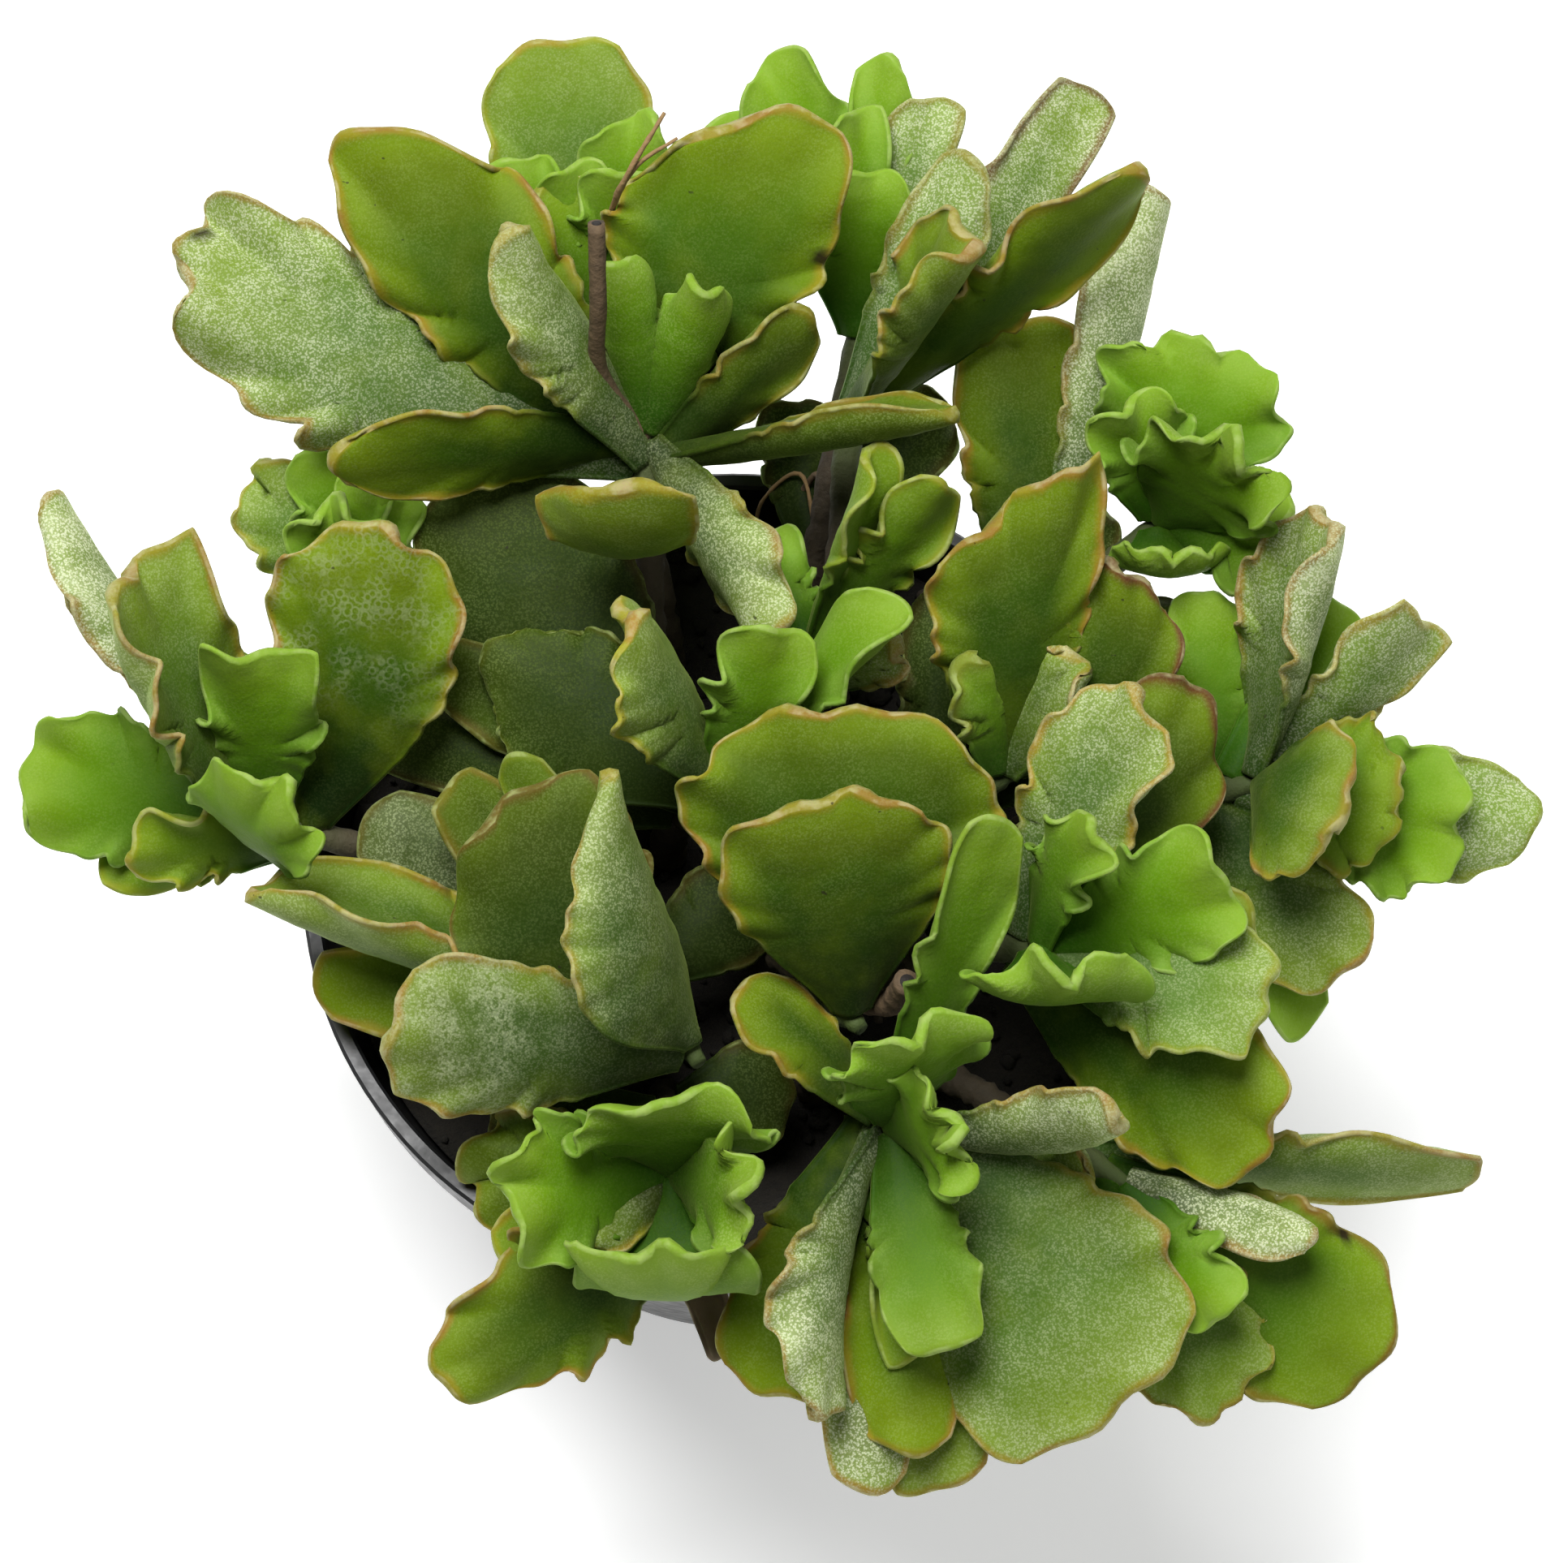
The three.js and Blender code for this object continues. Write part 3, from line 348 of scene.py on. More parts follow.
        mature(0.85, (-37.5, -47, -6), 15, wave=1.5, dark=0.6),
        mature(0.85, (-40.5, -71, 2), 18, turn=-15, wave=1.3, sway=-3, widest=0.5, blunt=0.45, dark=0.3),
        mature(0.6, (-35, -40, -12), 10, dark=1),
        mature(0.5, (1, -36, -15), 13, wave=0.3, dark=1),
    ]),
    dict(name="shoot_front_right", root=(22, -23), crown=(41, -48, -1), girth=4.2, leaves=[
        mature(0.85, (81.5, -45.5, -12), 13, turn=50, cup=20, wave=0.7, blunt=0.6, round=0.06,
            frost=1.6, youth=0.2),
        mature(1, (62.5, -54, 3), 8.5, turn=140, cup=30, wave=0.3, blunt=0.4, round=0.1, frost=1.9),
        mature(0.7, (35.5, -48, 2), 10, turn=30, cup=30, wave=0.5, blunt=0.45, frost=1.4, dark=0.4),
        mature(0.9, (70, -69, -6), 23, round=0.2, youth=0.3, red=0.6, scar_at=0.74, scar_side=-0.95),
        mature(0.95, (52, -73.5, -4), 18, youth=0.3, frost=1.4),
        young(1, (52, -63, 5), 10, turn=20, cup=15, wave=1.5),
        young(0.95, (36.5, -51.5, 1), 11, cup=10, youth=0.7),
    ]),
]


# Thin dry roots and bracts: at what share of the stem they start, where they pass, and their widths
WISPS = {
    "shoot_back_left": [
        {"at": 1, "path": [(-20.5, 66, -14), (-18.5, 71, -7), (-14, 78.5, -5)], "girth": 1.1, "ends": 0.5},
        {"at": 1, "path": [(-20.5, 66, -14), (-17.5, 72, -7), (-12.5, 75.5, -6)], "girth": 0.9, "ends": 0.4},
    ],
    "shoot_back": [
        {"at": 0.45, "path": [(2, 36, -32), (-2.5, 33, -36), (-3.5, 28, -42)], "girth": 0.6, "ends": 0.4},
        {"at": 0.5, "path": [(5, 35, -31), (2.5, 31, -36), (3, 27, -42)], "girth": 0.6, "ends": 0.4},
        {"at": 0.55, "path": [(6, 37, -30), (6.5, 32, -35), (3.5, 28, -42)], "girth": 0.6, "ends": 0.4},
    ],
}

# Dead leaves that still hang on a stem
WITHERED = {
    "shoot_front_left": [mature(0.7, (-8, -67, -8), 6, dry=1, cup=50, wave=1.2, thick=1.6)],
}


# Places and shapes

def seen(place):
    """The point of the plant that is seen so far right, up and near of the view's middle."""
    right, up, near = place
    spread = (VIEW_DISTANCE - near) / VIEW_DISTANCE
    return VIEW_MIDDLE + Vector((right * spread, 0, 0)) + TO_UP * (up * spread) + TO_NEAR * near


def smoothstep(x, low, high):
    t = np.clip((x - low) / (high - low), 0, 1)
    return t * t * (3 - 2 * t)


def lerp(a, b, t):
    return a + (b - a) * t


def unit(vectors):
    return vectors / np.maximum(1e-9, np.linalg.norm(vectors, axis=-1, keepdims=True))


def add_object(name, data):
    thing = bpy.data.objects.new(name, data)
    bpy.context.scene.collection.objects.link(thing)
    return thing


def mesh_piece(name, points, faces, attributes=None):
    """An object from points in millimetres, polygons and numbers kept at its points."""
    mesh = bpy.data.meshes.new(name)
    mesh.from_pydata((np.asarray(points) * MM).tolist(), [], faces)
    for key, values in (attributes or {}).items():
        layer = mesh.attributes.new(key, "FLOAT", "POINT")
        layer.data.foreach_set("value", np.asarray(values, np.float32))
    mesh.shade_smooth()
    return add_object(name, mesh)


def ring_walls(rings, count):
    """The polygons between rings of so many points that follow each other."""
    faces = []
    for i in range(rings - 1):
        for k in range(count):
            a, b = i * count + k, i * count + (k + 1) % count
            faces.append([a, b, b + count, a + count])
    return faces


def finish_piece(piece, material, node):
    piece.data.materials.append(material)
    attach(piece, "root")
    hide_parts(node)
    return piece


class Gathered:
    """Points, polygons and point attributes of many small shapes that make one piece."""

    def __init__(self):
        self.points = []
        self.faces = []
        self.attributes = {}

    def add(self, points, faces, **attributes):
        start = len(self.points)
        self.points.extend(np.asarray(points).tolist())
        self.faces.extend([[start + i for i in face] for face in faces])
        for key, values in attributes.items():
            spread = np.broadcast_to(np.asarray(values, float), (len(points),))
            self.attributes.setdefault(key, []).extend(spread.tolist())

    def piece(self, name):
        return mesh_piece(name, self.points, self.faces, self.attributes)


# Leaf blades: s runs from the stem to the tip, and c across from edge to edge

def half_width(leaf, s):
    half = leaf["width"] / 2
    foot = min(1, PETIOLE_WIDTH / leaf["width"])
    widest = leaf.get("widest", WIDEST_AT)
    rise = np.sin(math.pi / 2 * np.clip(s / widest, 0, 1)) ** FLARE
    past = np.maximum(0, s - widest) / max(1 - widest, 0.01)
    tapered = 1 - (1 - leaf.get("blunt", TIP_WIDTH)) * past**2
    return half * np.where(s < widest, lerp(foot, 1, rise), tapered)


def blade_directions(leaf, axis, s):
    """Which way the blade lies across and which way its upper face looks, along its length."""
    towards = FACES[leaf.get("faces", "near")]
    facing = (towards - axis * towards.dot(axis)).normalized()
    side = np.array(axis.cross(facing))
    facing = np.array(facing)
    turn = np.radians(leaf.get("turn", 0) + leaf.get("twist", 0) * (s - 0.5))[..., None]
    across = side * np.cos(turn) - facing * np.sin(turn)
    out = facing * np.cos(turn) + side * np.sin(turn)
    return across, out


def margin_waves(leaf, s, c, angle):
    """How far the margin waves up and down, and how far it juts in and out."""
    near_tip = np.maximum(0, (s - TIP_WAVE_FROM) / (1 - TIP_WAVE_FROM)) ** 2
    at_edge = lerp(np.abs(c) ** 3, 1, near_tip)
    rising = at_edge * smoothstep(s, WAVE_FROM, WAVE_FULL)
    phase = leaf["crests"] * angle + leaf["phase"] + WAVE_DRIFT * np.sin(2 * angle + leaf["phase"])
    uneven = 1 + WAVE_UNEVEN * np.sin(3 * angle - leaf["phase"])
    waved = leaf["wave"] * leaf.get("calm", 1) * uneven * rising
    narrow = min(1, leaf["width"] / CRISP_WIDTH) ** 2
    crisped = CRISP * narrow * leaf.get("crimp", min(1, leaf["wave"])) * rising
    fine = CRISP_RATE * phase + leaf["phase"]
    wave = waved * np.sin(phase) + crisped * np.sin(fine)
    scallop = SCALLOP_SHARE * waved * np.cos(phase) + crisped * np.cos(fine)
    return wave, scallop


def blade_point(base, tip, leaf, s, c):
    """The blade's middle surface."""
    axis = (tip - base).normalized()
    length = (tip - base).length
    across, out = blade_directions(leaf, axis, s)
    half = half_width(leaf, s)
    bow = 4 * s * (1 - s)
    cup = math.radians(leaf.get("cup", 0)) * np.minimum(1, CUP_RATE * s)
    cup = np.where(np.abs(cup) < LEAST_CUP, LEAST_CUP, cup)
    over, lift = np.sin(c * cup) / cup, (1 - np.cos(c * cup)) / cup
    past_round = np.maximum(0, (s - ROUND_FROM) / (1 - ROUND_FROM))
    rounded = leaf.get("round", TIP_ROUND) * leaf["width"] * past_round**1.5 * c**2
    angle = np.arctan2(c * half, (s - WAVE_CENTRE) * length)
    wave, scallop = margin_waves(leaf, s, c, angle)
    skew = leaf.get("skew", 0) * c * s**2

    along = s * length - rounded + scallop * np.cos(angle) + skew
    sideways = over * half + leaf.get("sway", 0) * bow + scallop * np.sin(angle) - wave * np.sin(c * cup)
    height = lift * half - leaf.get("curl", 0) * bow + wave * np.cos(c * cup)
    point = np.array(base) + along[..., None] * np.array(axis)
    point = point + sideways[..., None] * across
    return point + height[..., None] * out


def blade_thickness(leaf, s, c):
    body = lerp(PETIOLE_THICKNESS, leaf["thick"], smoothstep(s, 0, FULL_THICKNESS_AT))
    return np.maximum(EDGE_THICKNESS, body * (1 - c**2) * (1 - TIP_THINNING * s**4))


def dimples(points):
    """How far each point of a leaf's skin is raised by its shallow lumps."""
    flat = points.reshape(-1, 3) / DIMPLE_SIZE
    raised = [noise.noise(Vector(p)) for p in flat]
    return DIMPLE_DEPTH * np.array(raised).reshape(points.shape[:-1] + (1,))


def scar_here(leaf, s, c, length):
    if "scar_at" not in leaf:
        return np.zeros_like(s)
    along = (s - leaf["scar_at"]) * length
    across = (c - leaf["scar_side"]) * half_width(leaf, s)
    return smoothstep(-np.hypot(along, SCAR_FLATNESS * across), -SCAR_SIZE, -SCAR_CORE * SCAR_SIZE)


def leaf_skin(base, tip, leaf, s, c):
    """The leaf's points: rings of upper face, edge, lower face and edge, and then the rim of the tip."""
    step = SLOPE_STEP
    middle = blade_point(base, tip, leaf, s, c)
    along = blade_point(base, tip, leaf, s + step, c) - blade_point(base, tip, leaf, s - step, c)
    across = blade_point(base, tip, leaf, s, c + step) - blade_point(base, tip, leaf, s, c - step)
    normal = unit(np.cross(across, along))
    half = blade_thickness(leaf, s, c)[..., None] / 2
    inside = (1 - np.abs(c) ** 4)[..., None]
    upper = middle + normal * (half + dimples(middle) * inside)
    lower = middle - normal * (half + dimples(middle + DIMPLE_SHIFT) * inside)
    bulge = EDGE_THICKNESS * EDGE_BULGE
    left = middle[:, :1] - unit(across[:, :1]) * bulge
    right = middle[:, -1:] + unit(across[:, -1:]) * bulge
    rings = np.concatenate([upper, right, lower[:, ::-1], left], axis=1)
    end = middle[-1] + unit(along[-1]) * bulge
    end[0] -= unit(across[-1, 0]) * bulge * CORNER_BULGE
    end[-1] += unit(across[-1, -1]) * bulge * CORNER_BULGE
    return np.concatenate([rings.reshape(-1, 3), end])


def leaf_faces(rows, columns):
    """The foot, the walls between the rings, and the rounded end that joins the last ring to the tip edge."""
    count = 2 * (columns + 2)
    faces = [list(reversed(range(count)))] + ring_walls(rows + 1, count)
    last, first_end = rows * count, (rows + 1) * count
    ring_to_end = list(range(columns + 1)) + [columns] + list(reversed(range(columns + 1))) + [0]
    for k in range(count):
        after = (k + 1) % count
        corners = [last + k, last + after, first_end + ring_to_end[after], first_end + ring_to_end[k]]
        faces.append(list(dict.fromkeys(corners)))
    return faces


def leaf_marks(leaf, s, c, length):
    """Numbers at each point of a leaf that its look depends on, in the order of the skin's points."""
    rows, columns = s.shape

    def ringed(values, at_edge, flip=1):
        edge = np.full((rows, 1), at_edge)
        body = np.concatenate([values, edge, flip * values[:, ::-1], edge], axis=1).ravel()
        return np.concatenate([body, np.full(columns, at_edge)])

    s_rings = np.concatenate([s, s[:, :1], s[:, ::-1], s[:, :1]], axis=1).ravel()
    margin = np.minimum((1 - np.abs(c)) * half_width(leaf, s), (1 - s) * length)
    marks = {
        "along": np.concatenate([s_rings, np.ones(columns)]),
        "margin": ringed(margin, 0),
        "inner": ringed(np.ones_like(s), 0, -1),
        "scar": ringed(scar_here(leaf, s, c, length), 0),
    }
    for name in ("youth", "frost", "red", "dark", "dry", "crackle"):
        marks[name] = leaf.get(name, 0)
    return marks


def add_leaf(gathered, base, leaf, tone):
    share = 1 if leaf["width"] > NARROW_LEAF else NARROW_SHARE
    rows, columns = round(LEAF_ROWS * share), 2 * round(LEAF_COLUMNS * share / 2)
    widths = np.sin(np.linspace(-1, 1, columns + 1) * math.pi / 2)
    s, c = np.meshgrid(np.linspace(0, 1, rows + 1), widths, indexing="ij")
    tip = seen(leaf["tip"])
    marks = leaf_marks(leaf, s, c, (tip - base).length)
    gathered.add(leaf_skin(base, tip, leaf, s, c), leaf_faces(rows, columns), **marks, tone=tone)


leaf_numbers = itertools.count(1)


def make_leaves(shoot, draw, material):
    gathered = Gathered()
    for leaf in shoot["leaves"]:
        start = stem_at(shoot, min(leaf["at"], HIGHEST_LEAF))
        base = start + (seen(leaf["tip"]) - start).normalized() * LEAF_START
        phase = next(leaf_numbers) * PHASE_STEP
        add_leaf(gathered, base, {**leaf, "phase": phase}, draw.random())
    for leaf in WITHERED.get(shoot["name"], []):
        add_leaf(gathered, stem_at(shoot, leaf["at"]), {**leaf, "phase": 0}, draw.random())
    return finish_piece(gathered.piece(shoot["name"] + "_leaves"), material, shoot["name"])


# Stems

def stem_points(shoot, count):
    """Points along the stem, from the soil to the crown."""
    x, y = shoot["root"]
    crown = seen(shoot["crown"])
    foot = Vector((x, y, SOIL_HEIGHT))
    knee = Vector((x, y, lerp(SOIL_HEIGHT, crown.z, KNEE_SHARE)))
    times = np.linspace(0, 1, count)
    return [foot * (1 - t) ** 2 + knee * (2 * t * (1 - t)) + crown * t**2 for t in times]


def stem_at(shoot, t):
    return stem_points(shoot, STEM_PLACES + 1)[round(STEM_PLACES * t)]


def add_rod(gathered, path, radii, knobs, draw, dry=1, pith=0, fresh=0, tone=0):
    """A round bumpy rod along points, closed at both ends."""
    normal = (path[1] - path[0]).orthogonal().normalized()
    points = []
    for i, centre in enumerate(path):
        ahead = (path[min(i + 1, len(path) - 1)] - path[max(i - 1, 0)]).normalized()
        normal = (normal - ahead * normal.dot(ahead)).normalized()
        other = ahead.cross(normal)
        swell = 1 + knobs * draw.uniform(-1, 1) * KNOBS_ROUND
        for k in range(STEM_SIDES):
            angle = 2 * math.pi * k / STEM_SIDES
            radius = radii[i] * (swell + knobs * draw.uniform(-1, 1) * KNOBS_POINT)
            points.append(centre + (normal * math.cos(angle) + other * math.sin(angle)) * radius)
    faces = [list(reversed(range(STEM_SIDES)))] + ring_walls(len(path), STEM_SIDES)
    faces.append([(len(path) - 1) * STEM_SIDES + k for k in range(STEM_SIDES)])
    gathered.add([list(p) for p in points], faces, dry=dry, pith=pith, fresh=fresh, tone=tone)


def smooth_path(points, count):
    """Points on a smooth curve through the given ones."""
    ends = [points[0] * 2 - points[1], *points, points[-1] * 2 - points[-2]]
    path = []
    for t in np.linspace(0, len(points) - 1, count):
        i = min(int(t), len(points) - 2)
        u = t - i
        a, b, c, d = ends[i:i + 4]
        straight = 2 * b + (c - a) * u
        bend = (2 * a - 5 * b + 4 * c - d) * u**2
        swing = (3 * b - a - 3 * c + d) * u**3
        path.append(0.5 * (straight + bend + swing))
    return path


def side_route(shoot, side):
    """The way of a twig or wisp, from inside the stem out through the places it's seen at."""
    return smooth_path([stem_at(shoot, side["at"])] + [seen(p) for p in side["path"]], TWIG_STEPS)


def add_twig(gathered, shoot, twig, draw):
    """A dry side stem, with a dark disc at its broken end as painted shade of its hollow middle."""
    route = side_route(shoot, twig)
    radius = twig["girth"] / 2
    add_rod(gathered, route, [radius] * TWIG_STEPS, TWIG_KNOBS, draw)
    ahead = (route[-1] - route[-2]).normalized()
    ends = [route[-1] - ahead * PITH_DEPTH, route[-1] + ahead * PITH_OUT]
    add_rod(gathered, ends, [radius * PITH_SHARE] * 2, 0, draw, pith=1)


def add_wisp(gathered, shoot, wisp, draw):
    shares = [i / (TWIG_STEPS - 1) for i in range(TWIG_STEPS)]
    radii = [lerp(wisp["girth"], wisp["ends"], share) / 2 for share in shares]
    add_rod(gathered, side_route(shoot, wisp), radii, WISP_KNOBS, draw, tone=1)


def make_stem(shoot, draw, material):
    gathered = Gathered()
    x, y = shoot["root"]
    path = [Vector((x, y, SOIL_HEIGHT - STEM_SUNK))] + stem_points(shoot, STEM_STEPS)
    times = np.concatenate([[0], np.linspace(0, 1, STEM_STEPS)])
    crown = smoothstep(times, CROWN_FROM, 1)
    radii = shoot["girth"] / 2 * (1 - STEM_TAPER * times) * (1 - (1 - CROWN_SHARE) * crown)
    fresh = np.repeat(smoothstep(times, GREEN_FROM, 1), STEM_SIDES)
    add_rod(gathered, path, radii, STEM_KNOBS, draw, dry=0, fresh=fresh, tone=draw.random())
    for twig in shoot.get("twigs", []):
        add_twig(gathered, shoot, twig, draw)
    for wisp in WISPS.get(shoot["name"], []):
        add_wisp(gathered, shoot, wisp, draw)
    return finish_piece(gathered.piece(shoot["name"] + "_stem"), material, shoot["name"])


# Pot and soil

def wall_radius(height):
    return lerp(POT_BASE_RADIUS, POT_TOP_RADIUS, height / (POT_HEIGHT - RIM_BAND))


def turned(profile, sides):
    """Points and faces of a profile of (radius, height) turned round the axis."""
    points = []
    for k in range(sides):
        angle = 2 * math.pi * k / sides
        points += [(r * math.cos(angle), r * math.sin(angle), z) for r, z in profile]
    count = len(profile)
    faces = []
    for k in range(sides):
        for i in range(count - 1):
            a, b = k * count + i, (k + 1) % sides * count + i
            faces.append([a, b, b + 1, a + 1])
    return points, faces


def pot_profile():
    """The pot's outer side from its base up to the lip, then its inner side down to the floor."""
    ledge = POT_HEIGHT - RIM_BAND
    band = RIM_RADIUS - LIP_OUT
    lip = POT_HEIGHT - LIP_HEIGHT
    inside = band - POT_WALL
    foot = [
        (0, 0), (POT_BASE_RADIUS - FOOT_ROUND, 0),
        (POT_BASE_RADIUS - FOOT_CORNER[0], FOOT_CORNER[1]), (POT_BASE_RADIUS, FOOT_ROUND),
    ]
    wall = [(wall_radius(20), 20), (wall_radius(50), 50), (POT_TOP_RADIUS, ledge)]
    slope_in, slope_low, slope_high = LIP_SLOPE
    rim = [
        (band - BAND_CORNER, ledge + BAND_CORNER), (band, ledge + BAND_STEP), (band, lip),
        (RIM_RADIUS - slope_in, lip + slope_low), (RIM_RADIUS, lip + slope_high),
    ]
    top = [
        (RIM_RADIUS, POT_HEIGHT - LIP_ROUND), (RIM_RADIUS - LIP_ROUND, POT_HEIGHT),
        (inside + LIP_ROUND, POT_HEIGHT), (inside, POT_HEIGHT - LIP_ROUND),
    ]
    lining = [
        (inside, ledge + BAND_STEP + POT_WALL), (POT_TOP_RADIUS - POT_WALL, ledge),
        (wall_radius(POT_FLOOR) - POT_WALL, POT_FLOOR), (0, POT_FLOOR),
    ]
    return foot + wall + rim + top + lining


def join_doubles(piece, reach, face_out=False):
    """Joins points of a piece that lie within reach of each other."""
    shape = bmesh.new()
    shape.from_mesh(piece.data)
    bmesh.ops.remove_doubles(shape, verts=shape.verts, dist=reach)
    if face_out:
        bmesh.ops.recalc_face_normals(shape, faces=shape.faces)
    shape.to_mesh(piece.data)
    shape.free()


def make_pot(material):
    points, faces = turned(pot_profile(), POT_SIDES)
    pot = mesh_piece("nursery_pot", points, faces)
    join_doubles(pot, 1e-6, face_out=True)
    cut_drain_holes(pot)
    pot.data.set_sharp_from_angle(angle=SHARP_ANGLE)
    return finish_piece(pot, material, "pot")


def cut_drain_holes(pot):
    shape = bmesh.new()
    radius = DRAIN_RADIUS * MM
    for i in range(DRAIN_HOLES):
        angle = 2 * math.pi * i / DRAIN_HOLES
        place = Vector((math.cos(angle), math.sin(angle), 0)) * DRAIN_CIRCLE * MM
        bmesh.ops.create_cone(
            shape, cap_ends=True, segments=DRAIN_SIDES, radius1=radius, radius2=radius,
            depth=4 * POT_FLOOR * MM, matrix=Matrix.Translation(place))
    mesh = bpy.data.meshes.new("drain_cutter")
    shape.to_mesh(mesh)
    shape.free()
    cutter = add_object("drain_cutter", mesh)
    cut = pot.modifiers.new("drain", "BOOLEAN")
    cut.object = cutter
    cut.solver = "EXACT"
    bpy.context.view_layer.objects.active = pot
    with bpy.context.temp_override(object=pot, active_object=pot):
        bpy.ops.object.modifier_apply(modifier=cut.name)
    bpy.data.objects.remove(cutter)


def add_crumb(gathered, centre, radius, draw):
    """A rough lump of soil: a small ball with its points pushed in and out."""
    ball = bmesh.new()
    bmesh.ops.create_icosphere(ball, subdivisions=1, radius=1)
    squeeze = [draw.uniform(*CRUMB_SQUEEZE) for _ in range(3)]
    points = []
    for v in ball.verts:
        push = radius * draw.uniform(*CRUMB_ROUGHNESS)
        points.append([centre[k] + v.co[k] * squeeze[k] * push for k in range(3)])
    faces = [[v.index for v in f.verts] for f in ball.faces]
    ball.free()
    gathered.add(points, faces, tone=draw.random())


def add_soil_block(gathered, top, draw):
    """The block of soil that fills the pot, with a lumpy upper face."""
    low = wall_radius(POT_FLOOR) - POT_WALL - SOIL_GAP
    profile = [(0, POT_FLOOR + SOIL_GAP), (low, POT_FLOOR + SOIL_GAP)]
    profile += [(top * (1 - i / SOIL_RINGS), SOIL_LEVEL) for i in range(SOIL_RINGS)]
    profile += [(0, SOIL_LEVEL)]
    points, faces = turned(profile, SOIL_SIDES)
    lumpy = []
    for x, y, z in points:
        on_top = z > SOIL_HEIGHT / 2 and 0.1 < math.hypot(x, y) < top * 0.99
        lumpy.append((x, y, z + draw.uniform(-SOIL_LUMPS, SOIL_LUMPS) if on_top else z))
    gathered.add(lumpy, faces, tone=SOIL_TONE)


def make_soil(draw, material):
    gathered = Gathered()
    top = wall_radius(SOIL_HEIGHT) - POT_WALL - SOIL_GAP
    add_soil_block(gathered, top, draw)
    for _ in range(CRUMBS):
        radius = lerp(CRUMB_RADII[0], CRUMB_RADII[1], draw.random() ** 2)
        reach = (top - radius - CRUMB_GAP) * math.sqrt(draw.random())
        angle = draw.uniform(0, 2 * math.pi)
        height = SOIL_HEIGHT + draw.uniform(*CRUMB_SUNK) * radius
        add_crumb(gathered, (reach * math.cos(angle), reach * math.sin(angle), height), radius, draw)
    soil = gathered.piece("potting_soil")
    join_doubles(soil, 1e-7)
    return finish_piece(soil, material, "soil")


# Materials

class Shading:
    """A node material under construction. Each method adds one node and gives back its output."""

    def __init__(self, name):
        self.material = bpy.data.materials.new(name)
        self.material.use_nodes = True
        self.tree = self.material.node_tree
        self.shader = self.tree.nodes["Principled BSDF"]

    def put(self, socket, value):
        if isinstance(value, bpy.types.NodeSocket):
            self.tree.links.new(value, socket)
        else:
            socket.default_value = value

    def attribute(self, name):
        node = self.tree.nodes.new("ShaderNodeAttribute")
        node.attribute_name = name
        return node.outputs["Fac"]

    def place(self):
        return self.tree.nodes.new("ShaderNodeTexCoord").outputs["Object"]

    def noise(self, size_mm, detail=3, roughness=0.55, offset=0):
        """Noise between 0 and 1 whose lumps are about size_mm across."""
        moved = self.tree.nodes.new("ShaderNodeVectorMath")
        moved.operation = "ADD"
        self.put(moved.inputs[0], self.place())
        moved.inputs[1].default_value = (offset, offset, offset)
        node = self.tree.nodes.new("ShaderNodeTexNoise")
        self.put(node.inputs["Vector"], moved.outputs[0])
        node.inputs["Scale"].default_value = 1 / (size_mm * MM)
        node.inputs["Detail"].default_value = detail
        node.inputs["Roughness"].default_value = roughness
        return node.outputs["Fac"]

    def dots(self, spacing_mm):
        """How far each place lies from the nearest of many dots, where 0 is on a dot."""
        node = self.tree.nodes.new("ShaderNodeTexVoronoi")
        self.put(node.inputs["Vector"], self.place())
        node.inputs["Scale"].default_value = 1 / (spacing_mm * MM)
        return node.outputs["Distance"]

    def math(self, operation, a, b=0.0, clamp=False):
        node = self.tree.nodes.new("ShaderNodeMath")
        node.operation = operation
        node.use_clamp = clamp
        self.put(node.inputs[0], a)
        self.put(node.inputs[1], b)
        return node.outputs[0]

    def times(self, *values):
        return functools.reduce(lambda a, b: self.math("MULTIPLY", a, b), values)

    def span(self, value, low, high, to_low=0.0, to_high=1.0):
        """The value's place between low and high, softly, as a number between to_low and to_high."""
        node = self.tree.nodes.new("ShaderNodeMapRange")
        node.interpolation_type = "SMOOTHSTEP"
        for socket, given in zip(list(node.inputs)[:5], (value, low, high, to_low, to_high)):
            self.put(socket, given)
        return node.outputs[0]

    def mix(self, factor, a, b):
        node = self.tree.nodes.new("ShaderNodeMix")
        node.data_type = "RGBA"
        self.put(node.inputs[0], factor)
        self.put(node.inputs[6], a if isinstance(a, bpy.types.NodeSocket) else (*a, 1))
        self.put(node.inputs[7], b if isinstance(b, bpy.types.NodeSocket) else (*b, 1))
        return node.outputs[2]

    def bump(self, height, depth_mm, strength=1.0):
        node = self.tree.nodes.new("ShaderNodeBump")
        node.inputs["Strength"].default_value = strength
        node.inputs["Distance"].default_value = depth_mm * MM
        self.put(node.inputs["Height"], height)
        self.put(self.shader.inputs["Normal"], node.outputs[0])

    def set(self, **values):
        for name, value in values.items():
            self.put(self.shader.inputs[name.replace("_", " ").title()], value)


# Colours of the leaves
FOOT_GREEN_AND_SHADE = (0.004, 0.015, 0.001)
LEAF_GREEN = (0.048, 0.112, 0.002)
TIP_GREEN = (0.140, 0.200, 0.003)
OLIVE = (0.095, 0.135, 0.003)
DULL_GREEN = (0.026, 0.070, 0.002)
PAINTED_SHADE_GREEN = (0.012, 0.022, 0.003)
FRESH_FOOT_AND_SHADE = (0.020, 0.070, 0.002)
FRESH_GREEN = (0.098, 0.215, 0.003)
FRESH_TIP = (0.165, 0.290, 0.010)
FRESH_RIM = (0.22, 0.36, 0.05)
BAND_GREEN_AND_GLOW = (0.150, 0.235, 0.003)
GOLD_AND_GLOW = (0.36, 0.28, 0.012)
RUST = (0.28, 0.12, 0.018)
WINE = (0.085, 0.020, 0.014)
YOUNG_CRUST = (0.33, 0.42, 0.14)
OLD_CRUST = (0.46, 0.42, 0.24)
THIN_FROST = (0.32, 0.42, 0.11)
